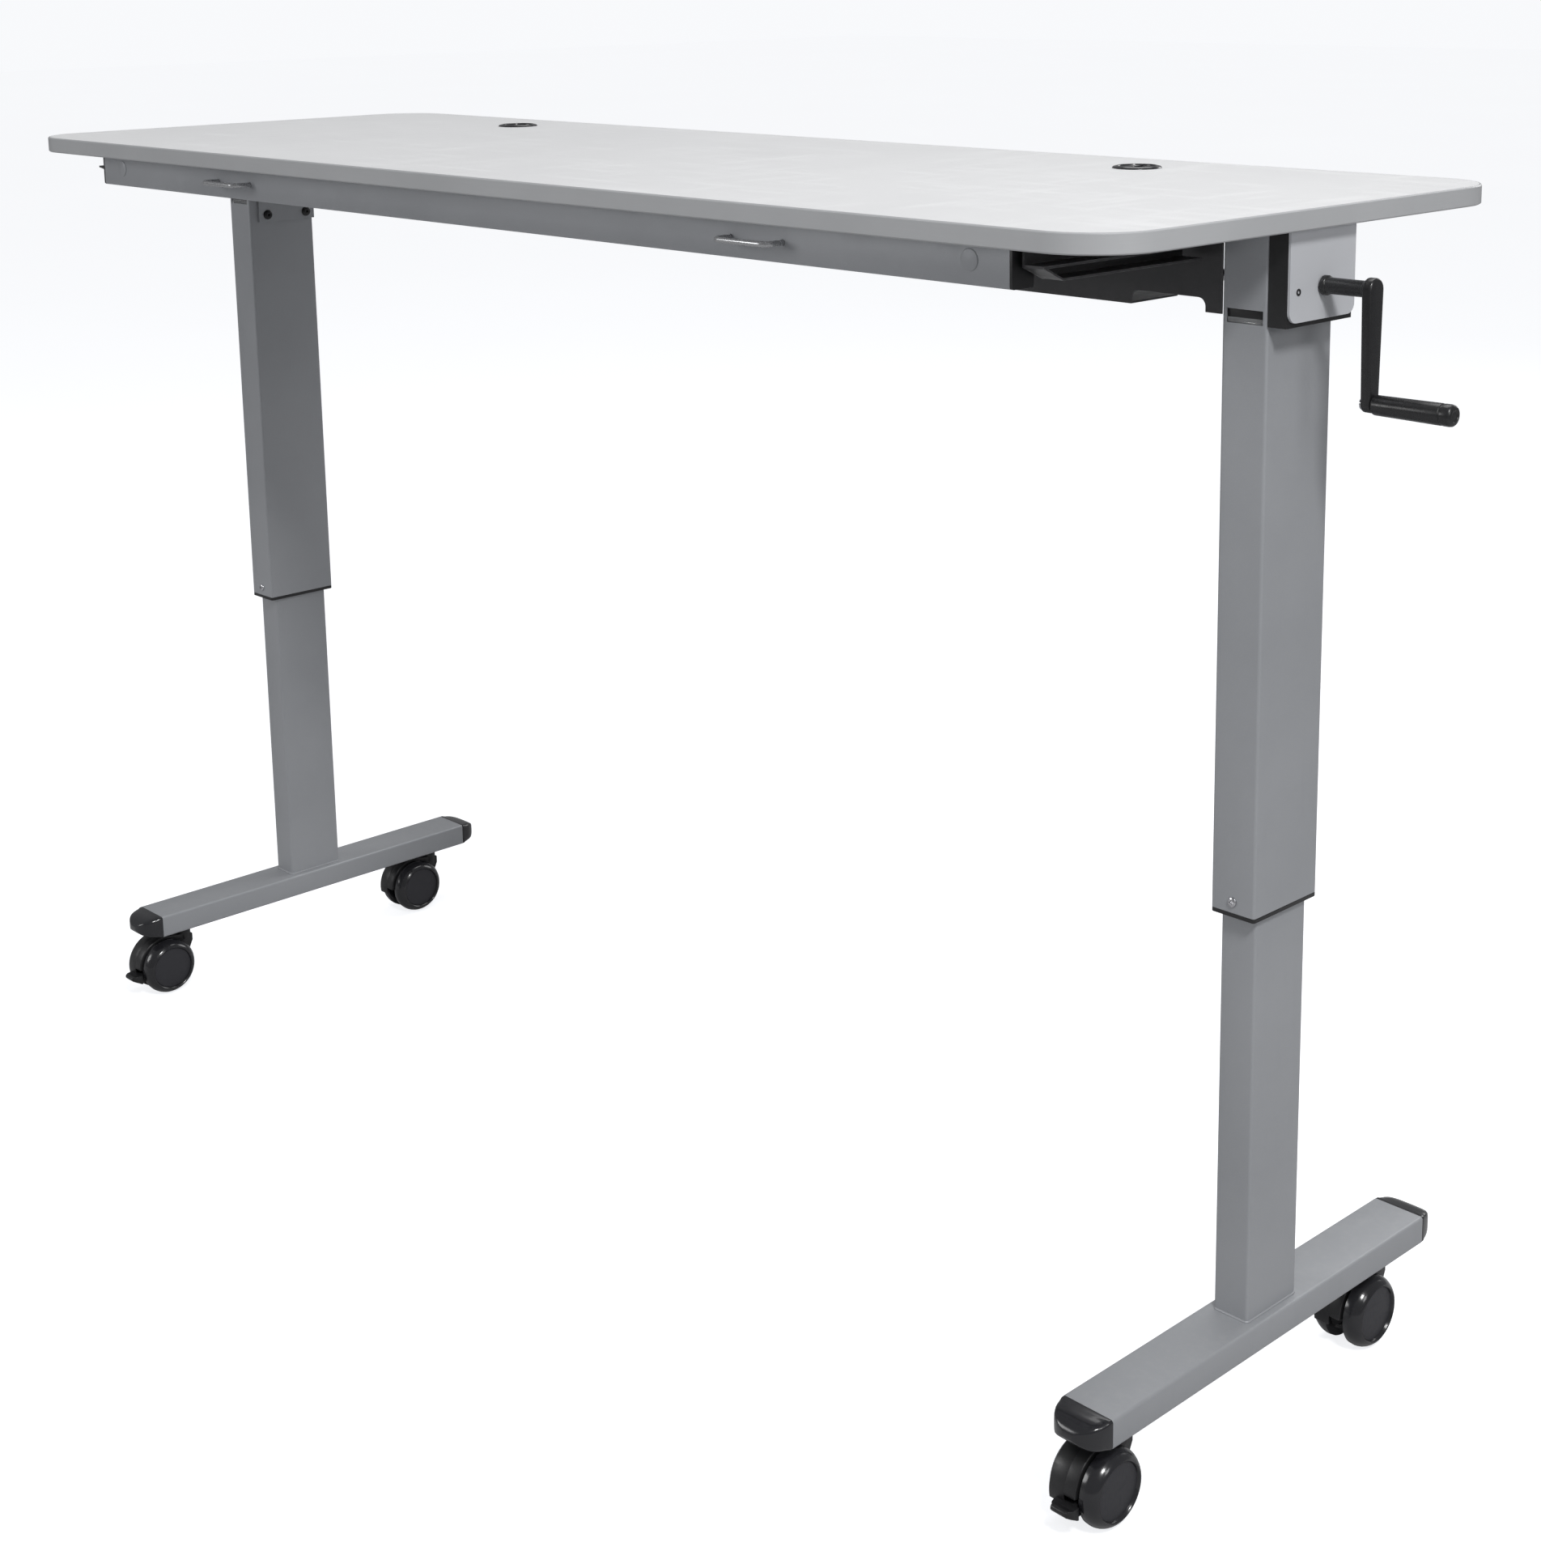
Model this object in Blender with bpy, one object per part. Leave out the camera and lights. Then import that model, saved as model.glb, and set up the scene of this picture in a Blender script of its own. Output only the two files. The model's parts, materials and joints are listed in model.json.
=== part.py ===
"""Crank-driven height-adjustable standing desk: flip-top board, two telescoping columns, T feet on casters.

Metres, +Z up, the floor at z = 0, the user's side at -Y. The desk is shown fully raised.
"""

import math

import bmesh
import bpy
from mathutils import Vector

# Board and its edge band
TOP_WIDTH = 1.829
TOP_DEPTH = 0.610
TOP_THICKNESS = 0.019
TOP_HEIGHT = 1.203
CORNER_RADIUS = 0.068
BAND_THICKNESS = 0.002
BAND_CHAMFER = 0.0012

# Cable grommets: a ring pressed into a rebated hole, and a cap that turns in it
GROMMET_FROM_SIDE = 0.3805
GROMMET_FROM_BACK = 0.097
GROMMET_RADIUS = 0.026
GROMMET_FLANGE = 0.0037
GROMMET_RISE = 0.0026
GROMMET_SEAT = 0.0008
GROMMET_WALL = 0.0022
GROMMET_LEDGE = 0.002
GROMMET_LIFT = 0.001
CAP_RISE = 0.0012
CAP_THICKNESS = 0.003
CABLE_SLOT = 0.010

# Beam under the front edge, with its pulls
BEAM_SETBACK = 0.035
BEAM_END_GAP = 0.044
BEAM_DEPTH = 0.028
BEAM_HEIGHT = 0.039
BEAM_WALL = 0.002
BEAM_CORNER = 0.0025
BEAM_CAP = 0.003
BEAM_CAP_PLUG = 0.010
PULL_FROM_END = 0.320
PULL_WIDTH = 0.072
PULL_REACH = 0.022
PULL_RADIUS = 0.0028
PULL_BEND = 0.008
PULL_STROKE = 0.012
CROSSBAR = 0.006
CROSSBAR_HEIGHT = 0.010
TONGUE_WIDTH = 0.016
TONGUE_THICKNESS = 0.004
TONGUE_GRIP = 0.004
TONGUE_PLAY = 0.001

# Columns
COLUMN_INSET = 0.0605
COLUMN_Y = 0.015
OUTER_WIDTH = 0.050
OUTER_DEPTH = 0.100
OUTER_WALL = 0.002
OUTER_LENGTH = 0.6458
INNER_WALL = 0.002
SLIDE_SIDE_GAP = 0.003
SLIDE_END_GAP = 0.008
OVERLAP_RAISED = 0.130
TUBE_CORNER = 0.003
BORE_CORNER = 0.001
WIPER_HEIGHT = 0.004
SLOT_EDGE = 0.005
SLOT_HEIGHT = 0.013
SLOT_DROP = 0.0875

# Cross channel between the columns
CHANNEL_DEPTH = 0.070
CHANNEL_HEIGHT = 0.0798
CHANNEL_WALL = 0.002
NOTCH_TO_COLUMN = 0.019
NOTCH_WIDTH = 0.0855
NOTCH_HEIGHT = 0.013
NOTCH_CORNER = 0.008

# Flip hinge, behind the columns
HINGE_BEHIND = 0.014
HINGE_DROP = 0.016
HINGE_EYE = 0.012
HINGE_PIN = 0.005
HINGE_PIN_LENGTH = 0.018
PLATE_THICKNESS = 0.004
PLATE_DROP = 0.1125
PLATE_FRONT = 0.013
EAR_GAP = 0.005
EAR_THICKNESS = 0.004
LEAF_THICKNESS = 0.0025
LEAF_WIDTH = 0.030
LEAF_FRONT = 0.030
LEAF_BACK = 0.032

# Arms that tie the beam to the board
ARM_GAP = 0.004
ARM_WIDTH = 0.024
ARM_SHEET = 0.002
ARM_DEPTH = 0.032
ARM_SHELF = 0.020
ARM_SLOPE = 0.026
ARM_SETBACK = 0.008
ARM_TO_COLUMN = 0.010

# Crank and drive line
CRANK_DROP = 0.053
SHAFT_RADIUS = 0.0055
SHAFT_PLAY = 0.001
GEARBOX_THICKNESS = 0.020
GEARBOX_DROP = 0.088
GEARBOX_WALL = 0.004
COVER_THICKNESS = 0.003
COVER_DROP = 0.0835
COVER_CORNER = 0.010
ARM_STANDOFF = 0.047
SLEEVE_WALL = 0.002
SLEEVE_BOSS = 0.0016
CRANK_LENGTH = 0.102
CRANK_THICKNESS = 0.010
HUB_RADIUS = 0.0108
TIP_RADIUS = 0.0078
GRIP_LENGTH = 0.081
GRIP_RADIUS = 0.010
GRIP_PLAY = 0.001
GRIP_PIN = 0.004
GRIP_PIN_HEAD = 0.002

# Mitre gears and lead screws
GEAR_TEETH = 14
GEAR_RADIUS = 0.016
GEAR_FACE = 0.36
GEAR_ADDENDUM = 0.0014
GEAR_DEDENDUM = 0.0019
GEAR_HUB_WALL = 0.003
DRIVE_HUB_LENGTH = 0.0035
SCREW_HUB_LENGTH = 0.010
SCREW_RADIUS = 0.008
SCREW_SHOULDER = 0.002
SCREW_BELOW_NUT = 0.018
NUT_HEIGHT = 0.020
BEARING_HEIGHT = 0.016

# Feet
FOOT_WIDTH = 0.060
FOOT_HEIGHT = 0.030
FOOT_WALL = 0.002
FOOT_HALF_LENGTH = 0.255
FOOT_CAP_LENGTH = 0.030
FOOT_PLUG = 0.012

# Casters
WHEEL_RADIUS = 0.038
WHEEL_WIDTH = 0.020
WHEEL_RECESS = 0.0022
WHEEL_WEB = 0.005
WHEEL_PLAY = 0.0006
AXLE_RADIUS = 0.004
AXLE_INSET = 0.006
HOOD_WIDTH = 0.018
HOOD_OVER_WHEEL = 0.003
STEM_INSET = 0.045
STEM_RADIUS = 0.0055
STEM_BOSS = 0.005
STEM_LENGTH = 0.018
STEM_TO_WHEEL = 0.011
TRAIL = 0.033
PEDAL_WIDTH = 0.026
PEDAL_REACH = 0.016

# Gap between touching pieces, how far a cutting tool passes its piece, and the sides of a round piece
GAP = 0.0003
PASS = 0.005
ROUND_STEPS = 28

UNDERSIDE = TOP_HEIGHT - TOP_THICKNESS
FRAME_TOP = UNDERSIDE - 4 * GAP
COLUMN_X = TOP_WIDTH / 2 - COLUMN_INSET
COLUMN_INNER_FACE = COLUMN_X - OUTER_WIDTH / 2
COLUMN_OUTER_FACE = COLUMN_X + OUTER_WIDTH / 2
COLUMN_FRONT = COLUMN_Y - OUTER_DEPTH / 2
COLUMN_BACK = COLUMN_Y + OUTER_DEPTH / 2
OUTER_BOTTOM = FRAME_TOP - OUTER_LENGTH
INNER_WIDTH = OUTER_WIDTH - 2 * (OUTER_WALL + SLIDE_SIDE_GAP)
INNER_DEPTH = OUTER_DEPTH - 2 * (OUTER_WALL + SLIDE_END_GAP)
INNER_TOP = OUTER_BOTTOM + OVERLAP_RAISED
SLOT_WIDTH = OUTER_WIDTH - 2 * SLOT_EDGE
SLOT_BOTTOM = UNDERSIDE - SLOT_DROP
GROMMET_X = TOP_WIDTH / 2 - GROMMET_FROM_SIDE
GROMMET_Y = TOP_DEPTH / 2 - GROMMET_FROM_BACK
GROMMET_HOLE = GROMMET_RADIUS - GROMMET_FLANGE
BEAM_FRONT = TOP_DEPTH / 2 - BEAM_SETBACK
BEAM_END = COLUMN_INNER_FACE - BEAM_END_GAP
BEAM_TOP = UNDERSIDE - GAP
PULL_X = BEAM_END - PULL_FROM_END
PULL_Z = BEAM_TOP - BEAM_HEIGHT / 2
CHANNEL_BOTTOM = FRAME_TOP - CHANNEL_HEIGHT
CHANNEL_BACK = COLUMN_FRONT + CHANNEL_DEPTH
NOTCH_OUTER = COLUMN_INNER_FACE - NOTCH_TO_COLUMN
NOTCH_INNER = NOTCH_OUTER - NOTCH_WIDTH
HINGE_Y = COLUMN_BACK + HINGE_BEHIND
HINGE_Z = UNDERSIDE - HINGE_DROP
PLATE_BOTTOM = UNDERSIDE - PLATE_DROP
CRANK_Z = UNDERSIDE - CRANK_DROP
GRIP_Z = CRANK_Z - CRANK_LENGTH
GEARBOX_BOTTOM = UNDERSIDE - GEARBOX_DROP
GEARBOX_INNER = COLUMN_OUTER_FACE + GAP
GEARBOX_OUTER = GEARBOX_INNER + GEARBOX_THICKNESS
COVER_BOTTOM = UNDERSIDE - COVER_DROP
COVER_OUTER = GEARBOX_OUTER + GAP + COVER_THICKNESS
SLEEVE_RADIUS = SHAFT_RADIUS + SLEEVE_WALL
CRANK_ARM_X = COVER_OUTER + ARM_STANDOFF
GRIP_START = CRANK_ARM_X + CRANK_THICKNESS + GRIP_PLAY
GRIP_END = GRIP_START + GRIP_LENGTH
SCREW_GEAR_BACK = CRANK_Z - GEAR_RADIUS - GEAR_DEDENDUM
SCREW_NECK = SCREW_GEAR_BACK - SCREW_HUB_LENGTH - SCREW_SHOULDER
FOOT_BOTTOM = 2 * WHEEL_RADIUS + STEM_TO_WHEEL
FOOT_TOP = FOOT_BOTTOM + FOOT_HEIGHT
SIDES = (("left", -1), ("right", 1))
ENDS = (("front", -1), ("rear", 1))


def clear_scene():
    for leftover in list(bpy.data.objects):
        bpy.data.objects.remove(leftover, do_unlink=True)


def paint(name, colour, roughness, metallic=0.0):
    """A plain Principled material."""
    material = bpy.data.materials.new(name)
    material.use_nodes = True
    shader = material.node_tree.nodes["Principled BSDF"]
    shader.inputs["Base Color"].default_value = (*colour, 1)
    shader.inputs["Roughness"].default_value = roughness
    shader.inputs["Metallic"].default_value = metallic
    return material


# Outlines, as lists of (u, v)


def rectangle(u_low, u_high, v_low, v_high):
    return [(u_low, v_low), (u_high, v_low), (u_high, v_high), (u_low, v_high)]


def rounded_rectangle(width, height, radius, steps=4, centre=(0, 0)):
    outline = []
    for quarter in range(4):
        sign_u = 1 if quarter in (0, 3) else -1
        sign_v = 1 if quarter in (0, 1) else -1
        corner_u = centre[0] + sign_u * (width / 2 - radius)
        corner_v = centre[1] + sign_v * (height / 2 - radius)
        for step in range(steps + 1):
            angle = math.radians(90) * (quarter + step / steps)
            outline.append((corner_u + radius * math.cos(angle), corner_v + radius * math.sin(angle)))
    return outline


def arc(radius, centre, start, end, steps):
    """Points on a circle from the start angle to the end angle, in degrees."""
    outline = []
    for step in range(steps + 1):
        angle = math.radians(start + (end - start) * step / steps)
        outline.append((centre[0] + radius * math.cos(angle), centre[1] + radius * math.sin(angle)))
    return outline


def circle(radius, centre=(0, 0), steps=ROUND_STEPS):
    return arc(radius, centre, 0, 360, steps)[:-1]


# Solids, as lists of loops of points


def place(axis, along, outline):
    """Stands a flat outline across the axis. Its two directions are the other two, in X, Y, Z order."""
    if axis == "X":
        return [Vector((along, u, v)) for u, v in outline]
    if axis == "Y":
        return [Vector((u, along, v)) for u, v in outline]
    return [Vector((u, v, along)) for u, v in outline]


def prism(axis, outline, start, end):
    return [place(axis, start, outline), place(axis, end, outline)]


def tube(axis, outer, inner, start, end):
    """A wall between two outlines with the same number of points, as a closed chain of loops."""
    return [
        place(axis, start, outer),
        place(axis, end, outer),
        place(axis, end, inner),
        place(axis, start, inner),
    ]


def turned(axis, centre, profile, steps=ROUND_STEPS):
    """One circle for each (radius, distance along the axis) of the profile."""
    return [place(axis, along, circle(radius, centre, steps)) for radius, along in profile]


def box(low, high):
    return prism("Z", rectangle(low[0], high[0], low[1], high[1]), low[2], high[2])


def bent_rod(points, radius, bend, steps=10):
    """A round rod along a path in one level plane, with its corners bent."""
    path = [Vector(points[0])]
    for before, corner, after in zip(points, points[1:], points[2:]):
        corner = Vector(corner)
        inward = (Vector(before) - corner).normalized() * bend
        outward = (Vector(after) - corner).normalized() * bend
        for step in range(5):
            share = step / 4
            path.append(corner + inward * (1 - share) ** 2 + outward * share ** 2)
    path.append(Vector(points[-1]))
    up = Vector((0, 0, 1))
    loops = []
    for index, point in enumerate(path):
        ahead = path[min(index + 1, len(path) - 1)] - path[max(index - 1, 0)]
        side = up.cross(ahead).normalized()
        loops.append([point + side * u + up * v for u, v in circle(radius, steps=steps)])
    return loops


def make(name, loops, material, pivot=(0, 0, 0), ring=False, smooth=False):
    """Skins the loops into one closed piece with its origin on its pivot. A ring joins its last loop to its first."""
    mesh = bpy.data.meshes.new(name)
    shape = bmesh.new()
    pivot = Vector(pivot)
    rows = [[shape.verts.new(point - pivot) for point in loop] for loop in loops]
    pairs = list(zip(rows, rows[1:]))
    if ring:
        pairs.append((rows[-1], rows[0]))
    else:
        shape.faces.new(rows[0])
        shape.faces.new(rows[-1])
    for near, far in pairs:
        for index in range(len(near)):
            following = (index + 1) % len(near)
            shape.faces.new((near[index], near[following], far[following], far[index]))
    bmesh.ops.remove_doubles(shape, verts=shape.verts, dist=1e-7)
    bmesh.ops.recalc_face_normals(shape, faces=shape.faces)
    shape.to_mesh(mesh)
    shape.free()
    if smooth:
        mesh.shade_smooth()
    if material:
        mesh.materials.append(material)
    piece = bpy.data.objects.new(name, mesh)
    piece.location = pivot
    bpy.context.scene.collection.objects.link(piece)
    return piece


def combine(piece, loops, operation, ring=False):
    """Adds or removes a helper solid with an exact Boolean. The helper itself never renders."""
    label = "tool_" + piece.name + "_" + str(len(piece.modifiers))
    helper = make(label, loops, None, ring=ring)
    helper.hide_render = True
    helper.display_type = "WIRE"
    boolean = piece.modifiers.new(operation.lower() + str(len(piece.modifiers)), "BOOLEAN")
    boolean.object = helper
    boolean.operation = operation
    boolean.solver = "EXACT"
    return piece


def add(piece, loops, ring=False):
    return combine(piece, loops, "UNION", ring)


def cut(piece, loops, ring=False):
    return combine(piece, loops, "DIFFERENCE", ring)


clear_scene()
laminate = paint("laminate", (0.78, 0.79, 0.80), 0.45)
band_grey = paint("edge_band", (0.42, 0.43, 0.45), 0.5)
frame_grey = paint("frame_grey", (0.36, 0.37, 0.39), 0.45, 0.3)
charcoal = paint("charcoal", (0.05, 0.05, 0.055), 0.5)
black_plastic = paint("black_plastic", (0.02, 0.02, 0.022), 0.4)
wheel_black = paint("wheel_black", (0.03, 0.03, 0.033), 0.3)
steel = paint("steel", (0.6, 0.6, 0.62), 0.3, 1.0)
bronze = paint("bronze", (0.5, 0.36, 0.2), 0.35, 1.0)
hinge_axis = (0, HINGE_Y, HINGE_Z)

# Board, edge band and grommets
inset = BAND_THICKNESS + GAP
board_outline = rounded_rectangle(TOP_WIDTH - 2 * inset, TOP_DEPTH - 2 * inset, CORNER_RADIUS - inset, 10)
band_inner = rounded_rectangle(
    TOP_WIDTH - 2 * BAND_THICKNESS, TOP_DEPTH - 2 * BAND_THICKNESS, CORNER_RADIUS - BAND_THICKNESS, 10
)
band_outer = rounded_rectangle(TOP_WIDTH, TOP_DEPTH, CORNER_RADIUS, 10)
band_eased = rounded_rectangle(
    TOP_WIDTH - 2 * BAND_CHAMFER, TOP_DEPTH - 2 * BAND_CHAMFER, CORNER_RADIUS - BAND_CHAMFER, 10
)
worktop = make("worktop", prism("Z", board_outline, UNDERSIDE, TOP_HEIGHT), laminate, hinge_axis)
make(
    "edge_band",
    [
        place("Z", UNDERSIDE, band_eased),
        place("Z", UNDERSIDE + BAND_CHAMFER, band_outer),
        place("Z", TOP_HEIGHT - BAND_CHAMFER, band_outer),
        place("Z", TOP_HEIGHT, band_eased),
        place("Z", TOP_HEIGHT, band_inner),
        place("Z", UNDERSIDE, band_inner),
    ],
    band_grey,
    hinge_axis,
    ring=True,
)
sleeve_outer = GROMMET_HOLE - GAP
sleeve_inner = sleeve_outer - GROMMET_WALL
sleeve_low = UNDERSIDE + GROMMET_LIFT
flange_low = TOP_HEIGHT - GROMMET_SEAT + GAP
cap_radius = sleeve_inner - GAP
cap_high = TOP_HEIGHT + CAP_RISE
cap_low = cap_high - CAP_THICKNESS
ledge = sleeve_inner - GROMMET_LEDGE
for side, sign in SIDES:
    centre = (sign * GROMMET_X, GROMMET_Y)
    cut(worktop, turned("Z", centre, [(GROMMET_HOLE, UNDERSIDE - PASS), (GROMMET_HOLE, TOP_HEIGHT + PASS)]))
    rebate = GROMMET_RADIUS + GAP
    cut(worktop, turned("Z", centre, [(rebate, TOP_HEIGHT - GROMMET_SEAT), (rebate, TOP_HEIGHT + PASS)]))
    make(
        "grommet_ring_" + side,
        turned(
            "Z",
            centre,
            [
                (sleeve_outer, sleeve_low),
                (sleeve_outer, flange_low),
                (GROMMET_RADIUS, flange_low),
                (GROMMET_RADIUS - 0.0006, TOP_HEIGHT + GROMMET_RISE / 2),
                (GROMMET_RADIUS - 0.003, TOP_HEIGHT + GROMMET_RISE),
                (sleeve_inner, TOP_HEIGHT + GROMMET_RISE - 0.0006),
                (sleeve_inner, cap_low - GAP),
                (ledge, cap_low - GAP),
                (ledge, cap_low - GROMMET_LEDGE),
                (sleeve_inner, cap_low - 1.5 * GROMMET_LEDGE),
                (sleeve_inner, sleeve_low),
            ],
        ),
        black_plastic,
        hinge_axis,
        ring=True,
        smooth=True,
    )
    slot_angle = math.degrees(math.asin(CABLE_SLOT / 2 / cap_radius))
    cap_outline = arc(cap_radius, centre, 90 + slot_angle, 450 - slot_angle, ROUND_STEPS)
    cap_outline += [(centre[0] + CABLE_SLOT / 2, centre[1]), (centre[0] - CABLE_SLOT / 2, centre[1])]
    make(
        "grommet_cap_" + side,
        prism("Z", cap_outline, cap_low, cap_high),
        black_plastic,
        (*centre, TOP_HEIGHT),
    )

# Front beam, its end caps and the arms beside it
beam_y = BEAM_DEPTH / 2 - BEAM_FRONT
beam = make(
    "front_beam",
    tube(
        "X",
        rounded_rectangle(BEAM_DEPTH, BEAM_HEIGHT, BEAM_CORNER, 3, (beam_y, PULL_Z)),
        rounded_rectangle(
            BEAM_DEPTH - 2 * BEAM_WALL, BEAM_HEIGHT - 2 * BEAM_WALL, BORE_CORNER, 3, (beam_y, PULL_Z)
        ),
        BEAM_CAP - BEAM_END,
        BEAM_END - BEAM_CAP,
    ),
    frame_grey,
    hinge_axis,
    ring=True,
)
for side, sign in SIDES:
    cap_flange = rounded_rectangle(BEAM_DEPTH, BEAM_HEIGHT, BEAM_CORNER, 3, (beam_y, PULL_Z))
    plug_depth = BEAM_DEPTH - 2 * (BEAM_WALL + GAP)
    plug_height = BEAM_HEIGHT - 2 * (BEAM_WALL + GAP)
    cap_plug = rounded_rectangle(plug_depth, plug_height, BORE_CORNER, 3, (beam_y, PULL_Z))
    seat = sign * (BEAM_END - BEAM_CAP + GAP)
    make(
        "beam_cap_" + side,
        [
            place("X", sign * BEAM_END, cap_flange),
            place("X", seat, cap_flange),
            place("X", seat, cap_plug),
            place("X", seat - sign * BEAM_CAP_PLUG, cap_plug),
        ],
        black_plastic,
        hinge_axis,
    )

arm_front = ARM_SETBACK - BEAM_FRONT
arm_back = COLUMN_FRONT - ARM_TO_COLUMN
arm_top = UNDERSIDE - GAP
for side, sign in SIDES:
    arm_inner = sign * (BEAM_END + ARM_GAP)
    arm_outer = arm_inner + sign * ARM_WIDTH
    arm_web = arm_inner + sign * ARM_SHEET
    slope_end = arm_front + ARM_SLOPE
    lower = [
        (arm_front, arm_top - ARM_SHELF),
        (slope_end, arm_top - ARM_DEPTH),
        (arm_back, arm_top - ARM_DEPTH),
    ]
    side_sheet = [(arm_front, arm_top)] + lower + [(arm_back, arm_top)]
    front = arm_front + GAP
    back = arm_back - GAP
    shelf_low = arm_top - ARM_SHELF + GAP
    lip = [(front, shelf_low + GAP), (slope_end, lower[1][1] + GAP), (back, lower[2][1] + GAP)]
    lip += [(u, v + ARM_SHEET) for u, v in reversed(lip)]
    sheets = (
        rectangle(front, back, shelf_low, shelf_low + ARM_SHEET + GAP),
        lip,
        rectangle(front, back, arm_top - ARM_SHEET, arm_top - GAP),
    )
    arm = make("support_arm_" + side, prism("X", side_sheet, arm_inner, arm_web), charcoal, hinge_axis)
    for sheet in sheets:
        add(arm, prism("X", sheet, arm_inner + sign * GAP, arm_outer))

# Latch pulls: a bent wire handle with a flat tongue that reaches the channel
tongue_tip = COLUMN_FRONT + CHANNEL_WALL + TONGUE_GRIP
crossbar_front = BEAM_DEPTH - BEAM_FRONT + PULL_STROKE + TONGUE_PLAY
crossbar_back = crossbar_front + CROSSBAR
for side, sign in SIDES:
    left_leg_x = sign * PULL_X - PULL_WIDTH / 2
    right_leg_x = sign * PULL_X + PULL_WIDTH / 2
    handle_y = -BEAM_FRONT - PULL_REACH
    rod = bent_rod(
        [
            (left_leg_x, crossbar_front + CROSSBAR / 2, PULL_Z),
            (left_leg_x, handle_y, PULL_Z),
            (right_leg_x, handle_y, PULL_Z),
            (right_leg_x, crossbar_front + CROSSBAR / 2, PULL_Z),
        ],
        PULL_RADIUS,
        PULL_BEND,
    )
    pull = make("latch_pull_" + side, rod, steel, hinge_axis, smooth=True)
    add(
        pull,
        box(
            (left_leg_x - CROSSBAR, crossbar_front, PULL_Z - CROSSBAR_HEIGHT / 2),
            (right_leg_x + CROSSBAR, crossbar_back, PULL_Z + CROSSBAR_HEIGHT / 2),
        ),
    )
    add(
        pull,
        box(
            (sign * PULL_X - TONGUE_WIDTH / 2, crossbar_back - TONGUE_PLAY, PULL_Z - TONGUE_THICKNESS / 2),
            (sign * PULL_X + TONGUE_WIDTH / 2, tongue_tip, PULL_Z + TONGUE_THICKNESS / 2),
        ),
    )
    for leg_x in (left_leg_x, right_leg_x):
        bore = PULL_RADIUS + GAP
        cut(
            beam,
            turned("Y", (leg_x, PULL_Z), [(bore, -BEAM_FRONT - PASS), (bore, crossbar_front)], 14),
        )

# Outer columns, wipers and bearing blocks
for side, sign in SIDES:
    centre = (sign * COLUMN_X, COLUMN_Y)
    column = make(
        "outer_tube_" + side,
        tube(
            "Z",
            rounded_rectangle(OUTER_WIDTH, OUTER_DEPTH, TUBE_CORNER, 4, centre),
            rounded_rectangle(
                OUTER_WIDTH - 2 * OUTER_WALL, OUTER_DEPTH - 2 * OUTER_WALL, BORE_CORNER, 4, centre
            ),
            OUTER_BOTTOM,
            FRAME_TOP,
        ),
        frame_grey,
        ring=True,
    )
    cut(
        column,
        box(
            (centre[0] - SLOT_WIDTH / 2, COLUMN_FRONT - PASS, SLOT_BOTTOM),
            (centre[0] + SLOT_WIDTH / 2, COLUMN_FRONT + OUTER_WALL + PASS, SLOT_BOTTOM + SLOT_HEIGHT),
        ),
    )
    bore_start = sign * (COLUMN_INNER_FACE - PASS)
    bore_end = COLUMN_OUTER_FACE + PASS if sign > 0 else -COLUMN_X
    bore = SHAFT_RADIUS + SHAFT_PLAY
    cut(column, turned("X", (COLUMN_Y, CRANK_Z), [(bore, bore_start), (bore, bore_end)], 20))
    wiper_top = OUTER_BOTTOM - GAP
    make(
        "wiper_" + side,
        tube(
            "Z",
            rounded_rectangle(OUTER_WIDTH, OUTER_DEPTH, TUBE_CORNER, 4, centre),
            rounded_rectangle(INNER_WIDTH + 2 * GAP, INNER_DEPTH + 2 * GAP, TUBE_CORNER + GAP, 4, centre),
            wiper_top - WIPER_HEIGHT,
            wiper_top,
        ),
        black_plastic,
        ring=True,
    )
    block_width = OUTER_WIDTH - 2 * (OUTER_WALL + GAP)
    block_depth = OUTER_DEPTH - 2 * (OUTER_WALL + GAP)
    block_top = SCREW_NECK - SCREW_SHOULDER
    bearing = make(
        "bearing_block_" + side,
        prism(
            "Z",
            rounded_rectangle(block_width, block_depth, BORE_CORNER, 2, centre),
            block_top - BEARING_HEIGHT,
            block_top,
        ),
        charcoal,
    )
    bore = SCREW_RADIUS + GAP
    block_hole = [(bore, block_top - BEARING_HEIGHT - PASS), (bore, block_top + PASS)]
    cut(bearing, turned("Z", centre, block_hole))

# Cross channel, notched at its lower ends and open above each tongue
flange_end = COLUMN_INNER_FACE - PLATE_THICKNESS - 2 * GAP
c_section = [
    (COLUMN_FRONT, CHANNEL_BOTTOM),
    (CHANNEL_BACK, CHANNEL_BOTTOM),
    (CHANNEL_BACK, CHANNEL_BOTTOM + CHANNEL_WALL),
    (COLUMN_FRONT + CHANNEL_WALL, CHANNEL_BOTTOM + CHANNEL_WALL),
    (COLUMN_FRONT + CHANNEL_WALL, FRAME_TOP - CHANNEL_WALL),
    (CHANNEL_BACK, FRAME_TOP - CHANNEL_WALL),
    (CHANNEL_BACK, FRAME_TOP),
    (COLUMN_FRONT, FRAME_TOP),
]
channel = make("cross_channel", prism("X", c_section, -flange_end, flange_end), charcoal)
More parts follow.
